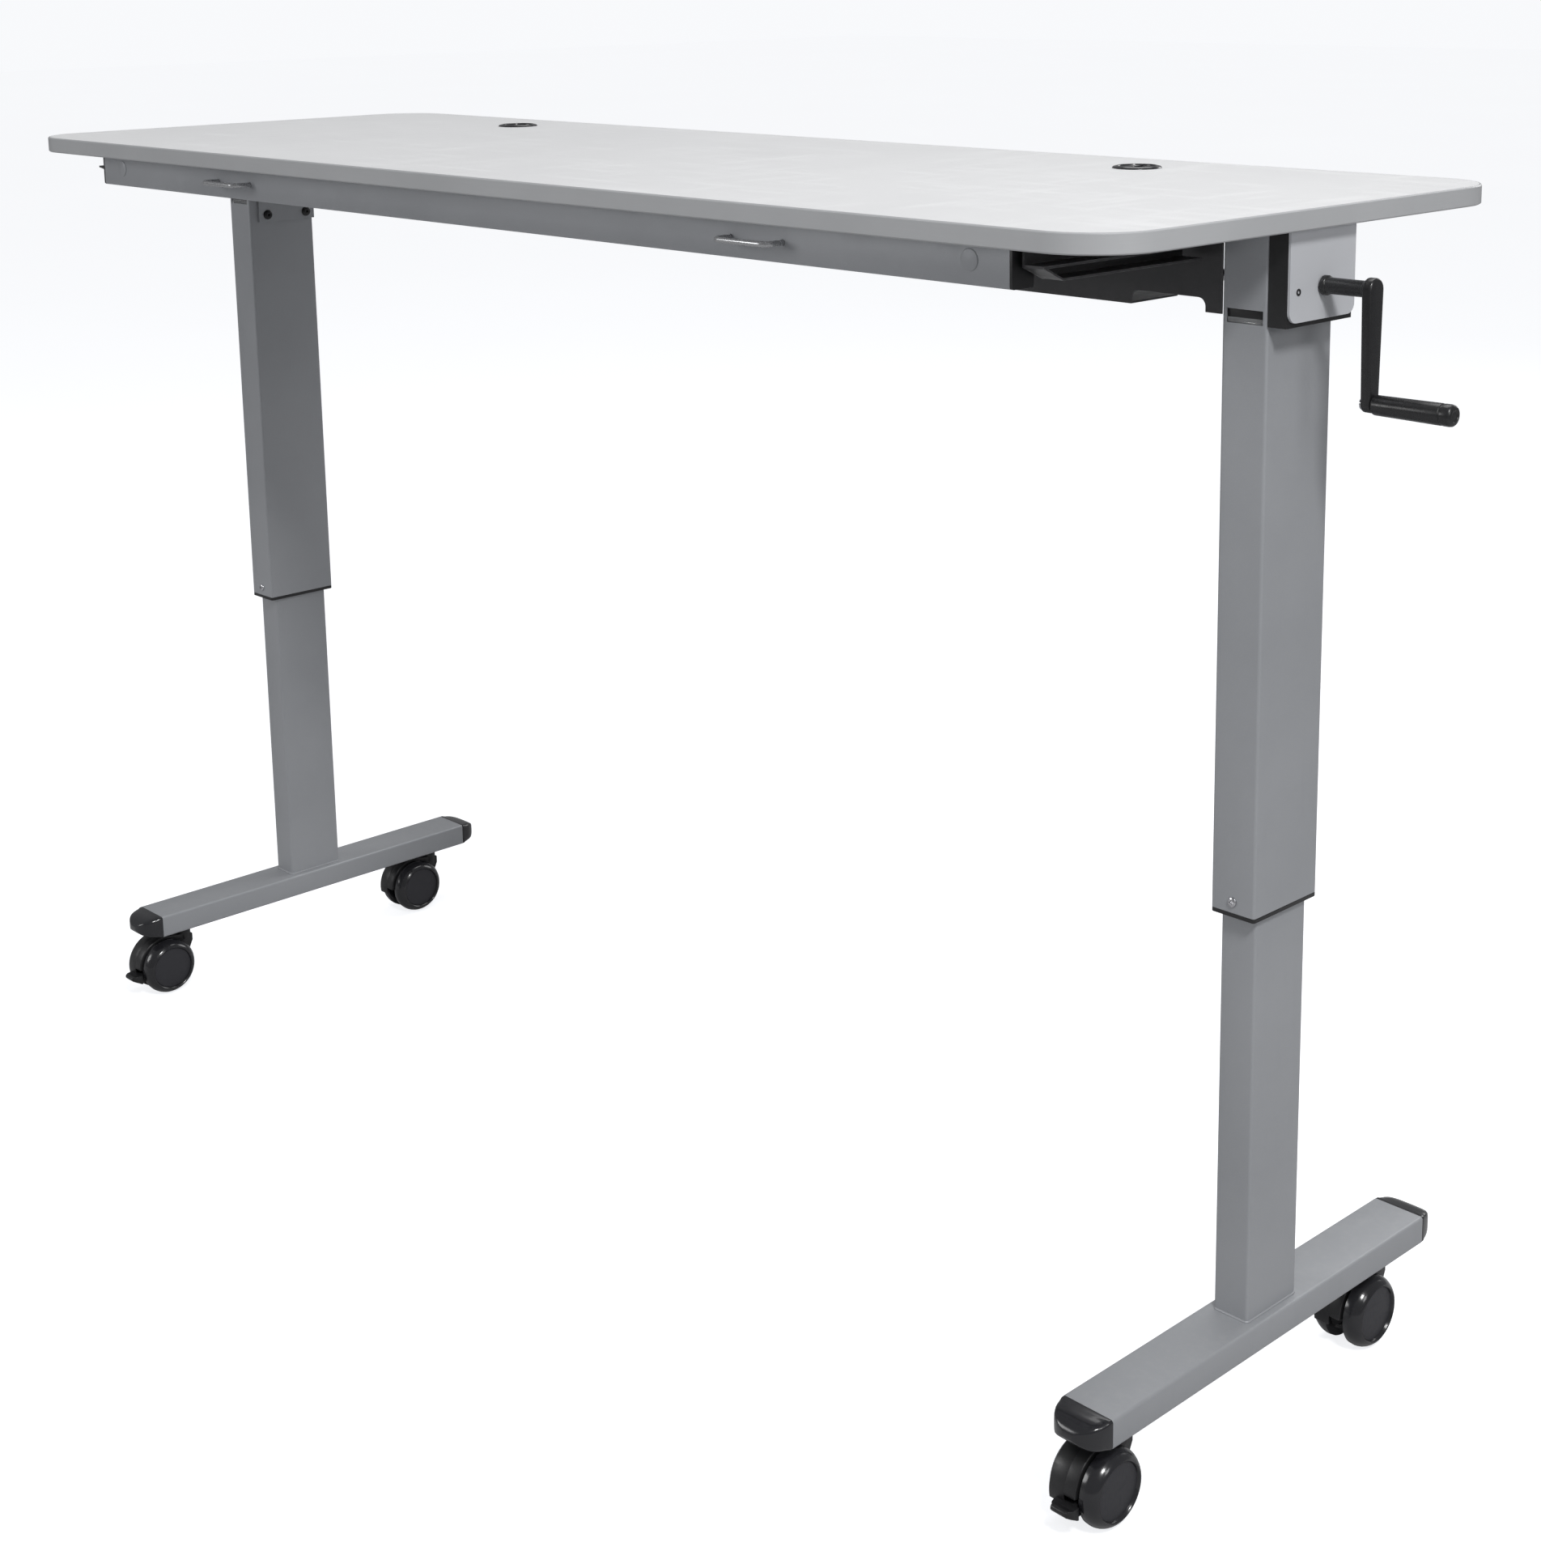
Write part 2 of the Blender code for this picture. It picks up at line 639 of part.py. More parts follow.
for side, sign in SIDES:
    web_end = sign * (COLUMN_INNER_FACE - GAP)
    web = rectangle(COLUMN_FRONT, COLUMN_FRONT + CHANNEL_WALL, CHANNEL_BOTTOM, FRAME_TOP)
    add(channel, prism("X", web, sign * (flange_end - CHANNEL_WALL), web_end))
    notch_centre = (sign * (NOTCH_OUTER + NOTCH_INNER) / 2, CHANNEL_BOTTOM)
    notch = rounded_rectangle(NOTCH_WIDTH, 2 * NOTCH_HEIGHT, NOTCH_CORNER, 4, notch_centre)
    cut(channel, prism("Y", notch, COLUMN_FRONT - PASS, COLUMN_FRONT + CHANNEL_WALL + PASS))
    flange_cut = sorted((sign * NOTCH_INNER, sign * (COLUMN_INNER_FACE + PASS)))
    cut(
        channel,
        box(
            (flange_cut[0], COLUMN_FRONT + CHANNEL_WALL, CHANNEL_BOTTOM - PASS),
            (flange_cut[1], CHANNEL_BACK + PASS, CHANNEL_BOTTOM + CHANNEL_WALL + PASS),
        ),
    )
    half_slot = TONGUE_WIDTH / 2 + TONGUE_PLAY
    slot_low = PULL_Z - TONGUE_THICKNESS / 2 - TONGUE_PLAY
    cut(
        channel,
        box(
            (sign * PULL_X - half_slot, COLUMN_FRONT - PASS, slot_low),
            (sign * PULL_X + half_slot, tongue_tip + TONGUE_GRIP, FRAME_TOP + PASS),
        ),
    )

# End plates with the hinge pins, and the leaves that turn on them
for side, sign in SIDES:
    plate_out = sign * (COLUMN_INNER_FACE - GAP)
    plate_in = plate_out - sign * PLATE_THICKNESS
    eye = arc(HINGE_EYE, (HINGE_Y, HINGE_Z), -90, 90, 12)
    plate_front = COLUMN_FRONT + PLATE_FRONT
    plate_outline = [(plate_front, PLATE_BOTTOM), (COLUMN_BACK, PLATE_BOTTOM)]
    plate_outline += [(COLUMN_BACK, HINGE_Z - HINGE_EYE)] + eye + [(plate_front, HINGE_Z + HINGE_EYE)]
    plate = make("end_plate_" + side, prism("X", plate_outline, plate_in, plate_out), frame_grey)
    bore = SHAFT_RADIUS + SHAFT_PLAY
    shaft_hole = [(bore, plate_in - sign * PASS), (bore, plate_out + sign * PASS)]
    cut(plate, turned("X", (COLUMN_Y, CRANK_Z), shaft_hole, 20))
    pin_tip = plate_in - sign * HINGE_PIN_LENGTH
    add(
        plate,
        turned("X", (HINGE_Y, HINGE_Z), [(HINGE_PIN, (plate_in + plate_out) / 2), (HINGE_PIN, pin_tip)], 20),
    )
    ear_out = plate_in - sign * EAR_GAP
    ear_in = ear_out - sign * EAR_THICKNESS
    leaf_in = ear_out - sign * LEAF_WIDTH
    leaf_top = UNDERSIDE - GAP
    leaf = make(
        "hinge_leaf_" + side,
        box(
            (min(leaf_in, ear_out), HINGE_Y - LEAF_FRONT, leaf_top - LEAF_THICKNESS),
            (max(leaf_in, ear_out), HINGE_Y + LEAF_BACK, leaf_top),
        ),
        charcoal,
        hinge_axis,
    )
    ear_root = leaf_top - LEAF_THICKNESS / 2
    ear = [(HINGE_Y - 1.5 * HINGE_EYE, ear_root)] + arc(HINGE_EYE, (HINGE_Y, HINGE_Z), 180, 360, 14)
    ear += [(HINGE_Y + 1.5 * HINGE_EYE, ear_root)]
    add(leaf, prism("X", ear, ear_in, ear_out))
    bore = HINGE_PIN + GAP
    pin_hole = [(bore, ear_in - sign * PASS), (bore, ear_out + sign * PASS)]
    cut(leaf, turned("X", (HINGE_Y, HINGE_Z), pin_hole, 20))

# Gearbox and its cover
housing = make(
    "gearbox_housing",
    box((GEARBOX_INNER, COLUMN_FRONT, GEARBOX_BOTTOM), (GEARBOX_OUTER, COLUMN_BACK, FRAME_TOP)),
    black_plastic,
)
cut(
    housing,
    box(
        (GEARBOX_INNER + GEARBOX_WALL, COLUMN_FRONT + GEARBOX_WALL, GEARBOX_BOTTOM + 2 * GEARBOX_WALL),
        (GEARBOX_OUTER + PASS, COLUMN_BACK - GEARBOX_WALL, FRAME_TOP - GEARBOX_WALL),
    ),
)
bore = SHAFT_RADIUS + GAP
cut(housing, turned("X", (COLUMN_Y, CRANK_Z), [(bore, GEARBOX_INNER - PASS), (bore, GEARBOX_OUTER)], 20))
corner_z = COVER_BOTTOM + COVER_CORNER
cover_outline = [(COLUMN_FRONT, FRAME_TOP)]
cover_outline += arc(COVER_CORNER, (COLUMN_FRONT + COVER_CORNER, corner_z), 180, 270, 6)
cover_outline += arc(COVER_CORNER, (COLUMN_BACK - COVER_CORNER, corner_z), 270, 360, 6)
cover_outline += [(COLUMN_BACK, FRAME_TOP)]
cover = make("cover_plate", prism("X", cover_outline, GEARBOX_OUTER + GAP, COVER_OUTER), frame_grey)
cut(cover, turned("X", (COLUMN_Y, CRANK_Z), [(bore, GEARBOX_OUTER - PASS), (bore, COVER_OUTER + PASS)], 20))

# Crank, grip and drive shaft
crank_axis = (COVER_OUTER, COLUMN_Y, CRANK_Z)
shaft_start = GEAR_RADIUS * (1 - GEAR_FACE) - 2 * GEAR_DEDENDUM / 3 - COLUMN_X
shaft_end = CRANK_ARM_X - SHAFT_PLAY
make(
    "drive_shaft",
    turned("X", (COLUMN_Y, CRANK_Z), [(SHAFT_RADIUS, shaft_start), (SHAFT_RADIUS, shaft_end)], 20),
    steel,
    crank_axis,
)
sweep = math.degrees(math.asin((HUB_RADIUS - TIP_RADIUS) / CRANK_LENGTH))
arm_outline = arc(HUB_RADIUS, (COLUMN_Y, CRANK_Z), -sweep, 180 + sweep, 14)
arm_outline += arc(TIP_RADIUS, (COLUMN_Y, GRIP_Z), 180 + sweep, 360 - sweep, 12)
crank = make(
    "crank_arm",
    prism("X", arm_outline, CRANK_ARM_X, CRANK_ARM_X + CRANK_THICKNESS),
    black_plastic,
    crank_axis,
)
add(
    crank,
    turned(
        "X",
        (COLUMN_Y, CRANK_Z),
        [
            (SLEEVE_RADIUS + SLEEVE_BOSS, COVER_OUTER + SHAFT_PLAY),
            (SLEEVE_RADIUS + SLEEVE_BOSS, COVER_OUTER + 0.005),
            (SLEEVE_RADIUS, COVER_OUTER + 0.006),
            (SLEEVE_RADIUS, CRANK_ARM_X + SHAFT_PLAY),
        ],
        24,
    ),
)
bore = SHAFT_RADIUS + GAP
cut(crank, turned("X", (COLUMN_Y, CRANK_Z), [(bore, COVER_OUTER - PASS), (bore, shaft_end + GAP)], 20))
bore = GRIP_PIN + GAP
cut(crank, turned("X", (COLUMN_Y, GRIP_Z), [(bore, CRANK_ARM_X - PASS), (bore, GRIP_START + PASS)], 16))
pin_end = GRIP_END - 0.014
make(
    "grip_pin",
    turned(
        "X",
        (COLUMN_Y, GRIP_Z),
        [
            (GRIP_PIN + GRIP_PIN_HEAD, CRANK_ARM_X - GRIP_PIN_HEAD),
            (GRIP_PIN + GRIP_PIN_HEAD, CRANK_ARM_X - GAP),
            (GRIP_PIN, CRANK_ARM_X - GAP),
            (GRIP_PIN, pin_end),
        ],
        16,
    ),
    steel,
    crank_axis,
)
make(
    "crank_grip",
    turned(
        "X",
        (COLUMN_Y, GRIP_Z),
        [
            (0, pin_end + GRIP_PLAY),
            (bore, pin_end + GRIP_PLAY),
            (bore, GRIP_START),
            (GRIP_RADIUS - 0.0015, GRIP_START),
            (GRIP_RADIUS, GRIP_START + 0.002),
            (GRIP_RADIUS, GRIP_END - 0.012),
            (GRIP_RADIUS - 0.0008, GRIP_END - 0.0115),
            (GRIP_RADIUS - 0.0008, GRIP_END - 0.0105),
            (GRIP_RADIUS, GRIP_END - 0.010),
            (GRIP_RADIUS, GRIP_END - 0.004),
            (GRIP_RADIUS - 0.0016, GRIP_END - 0.001),
            (GRIP_RADIUS - 0.005, GRIP_END),
            (0, GRIP_END),
        ],
        24,
    ),
    black_plastic,
    (GRIP_START, COLUMN_Y, GRIP_Z),
    smooth=True,
)


# Mitre gears


def gear_outline(scale, phase):
    """(radius, distance from the apex, angle) of each tooth corner, at one distance along the pitch cone."""
    corners = []
    lean = math.cos(math.radians(45))
    for tooth in range(GEAR_TEETH):
        for height, share in (
            (-GEAR_DEDENDUM, -0.34),
            (GEAR_ADDENDUM, -0.13),
            (GEAR_ADDENDUM, 0.13),
            (-GEAR_DEDENDUM, 0.34),
        ):
            radius = scale * (GEAR_RADIUS + height * lean)
            distance = scale * (GEAR_RADIUS - height * lean)
            corners.append((radius, distance, math.tau * (tooth + share + phase) / GEAR_TEETH))
    return corners


def mitre_gear(name, axis, direction, apex, bore_radius, hub_length, phase, pivot):
    """A straight mitre gear with its back pointing along the direction, and a bored hub."""

    def loop(corners):
        points = []
        for radius, distance, angle in corners:
            u = radius * math.cos(angle)
            v = radius * math.sin(angle)
            if axis == "X":
                points.append(apex + Vector((direction * distance, u, v)))
            else:
                points.append(apex + Vector((u, v, direction * distance)))
        return points

    def ring_of(radius, distance):
        return loop([(radius, distance, angle) for _, _, angle in outer])

    outer = gear_outline(1.0, phase)
    inner = gear_outline(1.0 - GEAR_FACE, phase)
    back = GEAR_RADIUS + GEAR_DEDENDUM
    hub_radius = bore_radius + GEAR_HUB_WALL
    loops = [
        ring_of(bore_radius, inner[0][1]),
        loop(inner),
        loop(outer),
        ring_of(hub_radius, back),
        ring_of(hub_radius, back + hub_length),
        ring_of(bore_radius, back + hub_length),
    ]
    return make(name, loops, steel, pivot, ring=True)


for side, sign in SIDES:
    apex = Vector((sign * COLUMN_X, COLUMN_Y, CRANK_Z))
    screw_axis = (sign * COLUMN_X, COLUMN_Y, SCREW_GEAR_BACK)
    neck_radius = SCREW_RADIUS - SCREW_SHOULDER
    mitre_gear("drive_gear_" + side, "X", 1, apex, SHAFT_RADIUS + GAP, DRIVE_HUB_LENGTH, 0.0, crank_axis)
    mitre_gear("screw_gear_" + side, "Z", -1, apex, neck_radius + GAP, SCREW_HUB_LENGTH, 0.0, screw_axis)
    screw_low = INNER_TOP - NUT_HEIGHT - SCREW_BELOW_NUT
    make(
        "lead_screw_" + side,
        turned(
            "Z",
            (sign * COLUMN_X, COLUMN_Y),
            [
                (neck_radius, screw_low),
                (SCREW_RADIUS, screw_low + SCREW_SHOULDER),
                (SCREW_RADIUS, SCREW_NECK),
                (neck_radius, SCREW_NECK),
                (neck_radius, CRANK_Z - GEAR_RADIUS * (1 - GEAR_FACE) - 2 * GAP),
            ],
            20,
        ),
        steel,
        screw_axis,
    )

# Inner tubes, nuts and feet
for side, sign in SIDES:
    centre = (sign * COLUMN_X, COLUMN_Y)
    make(
        "inner_tube_" + side,
        tube(
            "Z",
            rounded_rectangle(INNER_WIDTH, INNER_DEPTH, TUBE_CORNER, 4, centre),
            rounded_rectangle(
                INNER_WIDTH - 2 * INNER_WALL, INNER_DEPTH - 2 * INNER_WALL, BORE_CORNER, 4, centre
            ),
            FOOT_TOP + GAP,
            INNER_TOP,
        ),
        frame_grey,
        ring=True,
    )
    nut_width = INNER_WIDTH - 2 * (INNER_WALL + GAP)
    nut_depth = INNER_DEPTH - 2 * (INNER_WALL + GAP)
    nut_outline = rounded_rectangle(nut_width, nut_depth, BORE_CORNER, 2, centre)
    nut = make(
        "screw_nut_" + side,
        prism("Z", nut_outline, INNER_TOP - NUT_HEIGHT, INNER_TOP),
        bronze,
    )
    bore = SCREW_RADIUS + GAP
    cut(nut, turned("Z", centre, [(bore, INNER_TOP - NUT_HEIGHT - PASS), (bore, INNER_TOP + PASS)], 20))
    foot_centre = (sign * COLUMN_X, FOOT_BOTTOM + FOOT_HEIGHT / 2)
    foot_hollow = (FOOT_WIDTH - 2 * FOOT_WALL, FOOT_HEIGHT - 2 * FOOT_WALL)
    foot = make(
        "foot_tube_" + side,
        tube(
            "Y",
            rounded_rectangle(FOOT_WIDTH, FOOT_HEIGHT, TUBE_CORNER, 4, foot_centre),
            rounded_rectangle(*foot_hollow, BORE_CORNER, 4, foot_centre),
            COLUMN_Y - FOOT_HALF_LENGTH,
            COLUMN_Y + FOOT_HALF_LENGTH,
        ),
        frame_grey,
        ring=True,
    )
    for end, toward in ENDS:
        tube_end = COLUMN_Y + toward * FOOT_HALF_LENGTH
        stem_y = tube_end - toward * STEM_INSET
        bore = STEM_RADIUS + GAP
        stem_hole = [(bore, FOOT_BOTTOM - PASS), (bore, FOOT_BOTTOM + FOOT_WALL + PASS)]
        cut(foot, turned("Z", (foot_centre[0], stem_y), stem_hole, 18))
        plug_size = (foot_hollow[0] - 2 * GAP, foot_hollow[1] - 2 * GAP)
        plug = rounded_rectangle(*plug_size, BORE_CORNER, 4, foot_centre)
        loops = [place("Y", tube_end - toward * FOOT_PLUG, plug), place("Y", tube_end + toward * GAP, plug)]
        for share, width, height in (
            (0.01, 1.0, 1.0),
            (0.30, 1.0, 1.02),
            (0.58, 0.96, 1.0),
            (0.80, 0.86, 0.90),
            (0.93, 0.70, 0.72),
            (1.00, 0.46, 0.46),
        ):
            dome = rounded_rectangle(
                FOOT_WIDTH * width, FOOT_HEIGHT * height, TUBE_CORNER + 0.004 * share, 4, foot_centre
            )
            loops.append(place("Y", tube_end + toward * (GAP + FOOT_CAP_LENGTH * share), dome))
        make("foot_cap_" + end + "_" + side, loops, black_plastic)

# Casters
wheel_inner = HOOD_WIDTH / 2 + WHEEL_PLAY
wheel_outer = wheel_inner + WHEEL_WIDTH
for side, sign in SIDES:
    for end, toward in ENDS:
        place_name = end + "_" + side
        stem = (sign * COLUMN_X, COLUMN_Y + toward * (FOOT_HALF_LENGTH - STEM_INSET))
        axle = (stem[1] - TRAIL, WHEEL_RADIUS)
        swivel_axis = (stem[0], stem[1], WHEEL_RADIUS)
        boss_radius = STEM_RADIUS + STEM_BOSS
        hood_outline = arc(WHEEL_RADIUS + HOOD_OVER_WHEEL, axle, 178, 72, 14)
        hood_outline += [
            (stem[1] + boss_radius, FOOT_BOTTOM - 0.015),
            (stem[1] + boss_radius, FOOT_BOTTOM - 0.025),
            (stem[1] + 0.004, axle[1] + 0.010),
            (axle[0] + 0.012, axle[1] - 0.010),
            (axle[0] - 0.006, axle[1] - 0.012),
            (axle[0] - 0.020, axle[1] - 0.004),
        ]
        hood = make(
            "caster_hood_" + place_name,
            prism("X", hood_outline, stem[0] - HOOD_WIDTH / 2, stem[0] + HOOD_WIDTH / 2),
            black_plastic,
            swivel_axis,
        )
        boss = [
            (boss_radius, FOOT_BOTTOM - 0.021),
            (boss_radius, FOOT_BOTTOM - GAP),
            (STEM_RADIUS, FOOT_BOTTOM - GAP),
            (STEM_RADIUS, FOOT_BOTTOM + STEM_LENGTH),
        ]
        add(hood, turned("Z", stem, boss, 20))
        axle_tip = wheel_outer - AXLE_INSET
        axle_rod = [(AXLE_RADIUS, stem[0] - axle_tip), (AXLE_RADIUS, stem[0] + axle_tip)]
        add(hood, turned("X", axle, axle_rod, 14))
        for half, facing in (("inner", -sign), ("outer", sign)):
            near = stem[0] + facing * wheel_inner
            bore = AXLE_RADIUS + GAP
            depth = WHEEL_WIDTH - WHEEL_WEB
            profile = [
                (0, depth),
                (bore, depth),
                (bore, 0),
                (WHEEL_RADIUS - 0.009, 0),
                (WHEEL_RADIUS - 0.003, 0.0012),
                (WHEEL_RADIUS - 0.0004, 0.0045),
                (WHEEL_RADIUS, 0.008),
                (WHEEL_RADIUS - 0.0006, 0.0125),
                (WHEEL_RADIUS - 0.003, 0.0165),
                (WHEEL_RADIUS - 0.0065, WHEEL_WIDTH - 0.0008),
                (WHEEL_RADIUS - 0.009, WHEEL_WIDTH),
                (WHEEL_RADIUS - 0.0103, WHEEL_WIDTH - 0.0006),
                (WHEEL_RADIUS - 0.0108, WHEEL_WIDTH - WHEEL_RECESS),
                (0, WHEEL_WIDTH - WHEEL_RECESS),
            ]
            make(
                "wheel_" + half + "_" + place_name,
                turned("X", axle, [(radius, near + facing * along) for radius, along in profile]),
                wheel_black,
                (near, *axle),
                smooth=True,
            )
        if end == "rear":
            continue
        pedal_pivot = (stem[0], axle[0] - 0.026, axle[1] - 0.007)
        wheel_front = axle[0] - WHEEL_RADIUS
        pedal_tip = wheel_front - PEDAL_REACH
        pedal_outline = [
            (axle[0] - 0.018, axle[1] - 0.0175),
            (axle[0] - 0.018, axle[1] - 0.0125),
            (axle[0] - 0.028, axle[1] - 0.0055),
            (wheel_front - 0.006, axle[1] - 0.0055),
            (pedal_tip + 0.003, axle[1] - 0.0035),
            (pedal_tip, axle[1] - 0.007),
            (pedal_tip + 0.004, axle[1] - 0.0115),
            (wheel_front - 0.002, axle[1] - 0.0175),
        ]
        tab_start = wheel_front - 5 * GAP
        tab = rectangle(pedal_tip + 0.0025, tab_start, axle[1] - 0.0118, axle[1] - 0.0048)
        pedal = make(
            "brake_pedal_" + place_name,
            prism("X", pedal_outline, stem[0] - HOOD_WIDTH / 2, stem[0] + HOOD_WIDTH / 2),
            black_plastic,
            pedal_pivot,
        )
        add(pedal, prism("X", tab, stem[0] - PEDAL_WIDTH / 2, stem[0] + PEDAL_WIDTH / 2))

# The crank reaches past the board, so the whole desk moves sideways until its box is centred.
sideways = -(GRIP_END - TOP_WIDTH / 2) / 2
for item in bpy.data.objects:
    item.location.x += sideways
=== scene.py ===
import json
import math
import bpy
from mathutils import Euler, Matrix, Vector


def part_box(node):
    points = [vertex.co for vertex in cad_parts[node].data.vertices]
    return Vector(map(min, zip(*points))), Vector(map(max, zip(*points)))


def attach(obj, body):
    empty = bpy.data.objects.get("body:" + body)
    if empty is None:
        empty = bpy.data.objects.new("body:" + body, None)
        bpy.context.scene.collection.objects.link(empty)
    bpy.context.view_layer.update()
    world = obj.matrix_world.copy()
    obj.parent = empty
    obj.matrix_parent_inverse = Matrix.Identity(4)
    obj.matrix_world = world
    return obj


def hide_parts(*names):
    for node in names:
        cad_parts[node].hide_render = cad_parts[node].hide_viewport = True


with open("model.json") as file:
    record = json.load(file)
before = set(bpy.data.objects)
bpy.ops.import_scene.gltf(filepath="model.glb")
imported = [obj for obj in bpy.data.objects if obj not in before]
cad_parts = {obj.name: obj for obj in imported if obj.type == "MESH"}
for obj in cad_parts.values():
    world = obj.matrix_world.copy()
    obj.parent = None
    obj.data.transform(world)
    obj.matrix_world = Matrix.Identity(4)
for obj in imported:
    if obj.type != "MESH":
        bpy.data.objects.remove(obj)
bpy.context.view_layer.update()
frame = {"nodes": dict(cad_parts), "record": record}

record = frame["record"]
bodyOf = {node: body for body, names in record["behaviour"]["bodies"].items() for node in names}
print("frame loaded:", len(bodyOf), "nodes")


mergeGap = 1e-6  # points closer than this are one
cadMergeGap = 1e-5  # the same, for copies of the CAD nodes


# helpers that select and shape pieces as a person does in the viewport
def clearSelection():
    if bpy.context.mode != "OBJECT":
        bpy.ops.object.mode_set(mode="OBJECT")
    bpy.ops.object.select_all(action="DESELECT")


def pick(piece):
    clearSelection()
    piece.select_set(True)
    bpy.context.view_layer.objects.active = piece
    return piece


def bakePlace(piece):
    pick(piece)
    bpy.ops.object.transform_apply(location=True, rotation=True, scale=True)
    return piece


def addBlock(name, low, high):
    clearSelection()
    low, high = Vector(low), Vector(high)
    bpy.ops.mesh.primitive_cube_add(size=1, location=(low + high) / 2, scale=high - low)
    piece = bpy.context.active_object
    piece.name = name
    return bakePlace(piece)


def startPath(name, points):
    # one vertex, pulled out point by point; it stays in edit mode
    clearSelection()
    bpy.ops.mesh.primitive_plane_add(size=0.001, location=points[0])
    piece = bpy.context.active_object
    piece.name = name
    bakePlace(piece)
    bpy.ops.object.mode_set(mode="EDIT")
    bpy.ops.mesh.select_mode(type="VERT")
    bpy.ops.mesh.select_all(action="SELECT")
    bpy.ops.mesh.merge(type="CENTER")
    for before, after in zip(points, points[1:]):
        step = Vector(after) - Vector(before)
        bpy.ops.mesh.extrude_vertices_move(TRANSFORM_OT_translate={"value": step})
    bpy.ops.mesh.select_all(action="SELECT")
    return piece


def turnPiece(name, profile, centre, axis="X", steps=64):
    # profile points are (radius, distance along the axis), measured from centre
    centre = Vector(centre)
    along = {"X": Vector((1, 0, 0)), "Y": Vector((0, 1, 0)), "Z": Vector((0, 0, 1))}[axis]
    outward = Vector((0, 0, 1)) if axis != "Z" else Vector((1, 0, 0))
    piece = startPath(name, [centre + outward * radius + along * distance for radius, distance in profile])
    bpy.ops.mesh.spin(steps=steps, angle=math.tau, center=centre, axis=along)
    bpy.ops.mesh.select_all(action="SELECT")
    bpy.ops.mesh.remove_doubles(threshold=mergeGap)
    bpy.ops.mesh.normals_make_consistent(inside=False)
    bpy.ops.object.mode_set(mode="OBJECT")
    return piece


def cutSheet(name, outline, travel):
    # a closed outline filled and extruded by one vector
    piece = startPath(name, outline)
    bpy.ops.mesh.edge_face_add()
    bpy.ops.mesh.extrude_region_move(TRANSFORM_OT_translate={"value": Vector(travel)})
    bpy.ops.mesh.select_all(action="SELECT")
    bpy.ops.mesh.normals_make_consistent(inside=False)
    bpy.ops.object.mode_set(mode="OBJECT")
    return piece


def bevelPiece(piece, width, segments=3, angle=30, harden=False):
    pick(piece)
    bevel = piece.modifiers.new("bevel", "BEVEL")
    bevel.width = width
    bevel.segments = segments
    bevel.limit_method = "ANGLE"
    bevel.angle_limit = math.radians(angle)
    bevel.use_clamp_overlap = True
    bevel.harden_normals = harden
    bpy.ops.object.modifier_apply(modifier=bevel.name)
    return piece


def combine(piece, tool, operation="DIFFERENCE"):
    pick(piece)
    boolean = piece.modifiers.new("combine", "BOOLEAN")
    boolean.operation = operation
    boolean.object = tool
    bpy.ops.object.modifier_apply(modifier=boolean.name)
    bpy.data.objects.remove(tool)
    return piece


def bendWire(name, points, radius, closed=False):
    # a round wire along a path, as a bevelled curve made into a mesh
    clearSelection()
    bpy.ops.curve.primitive_nurbs_path_add()
    piece = bpy.context.active_object
    piece.name = name
    piece.data.splines.clear()
    spline = piece.data.splines.new("POLY")
    spline.points.add(len(points) - 1)
    for point, spot in zip(spline.points, points):
        point.co = (*spot, 1)
    spline.use_cyclic_u = closed
    piece.data.dimensions = "3D"
    piece.data.bevel_depth = radius
    piece.data.bevel_resolution = 5
    piece.data.use_fill_caps = not closed
    bpy.ops.object.convert(target="MESH")
    piece = bpy.context.active_object
    bpy.ops.object.mode_set(mode="EDIT")
    bpy.ops.mesh.select_all(action="SELECT")
    bpy.ops.mesh.remove_doubles(threshold=mergeGap)
    bpy.ops.mesh.normals_make_consistent(inside=False)
    bpy.ops.object.mode_set(mode="OBJECT")
    return piece


def smooth(piece, angle=35):
    pick(piece)
    bpy.ops.object.shade_smooth_by_angle(angle=math.radians(angle))
    return piece


def copyPiece(piece, name, move=(0, 0, 0), turn=(0, 0, 0)):
    # turn is in degrees, about the world origin, before the move
    pick(piece)
    bpy.ops.object.duplicate()
    twin = bpy.context.active_object
    twin.name = name
    twin.rotation_euler = Euler([math.radians(a) for a in turn])
    twin.location = Vector(move)
    return bakePlace(twin)


def arcPoints(centre, radius, start, end, steps):
    # (u, v) points on a circle, angles in degrees
    points = []
    for step in range(steps + 1):
        angle = math.radians(start + (end - start) * step / steps)
        points.append((centre[0] + radius * math.cos(angle), centre[1] + radius * math.sin(angle)))
    return points


def facesFacing(piece, direction, least=0.9):
    # selects the faces that point one way and leaves edit mode with only them selected
    pick(piece)
    bpy.ops.object.mode_set(mode="EDIT")
    bpy.ops.mesh.select_mode(type="FACE")
    bpy.ops.mesh.select_all(action="DESELECT")
    bpy.ops.object.mode_set(mode="OBJECT")
    for face in piece.data.polygons:
        face.select = face.normal.dot(Vector(direction)) > least
    bpy.ops.object.mode_set(mode="EDIT")


def place(piece, body, material):
    if material:
        piece.data.materials.clear()
        piece.data.materials.append(material)
    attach(piece, body)
    return piece


def standFor(piece, node, material=None):
    place(piece, bodyOf[node], material)
    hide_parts(node)
    return piece


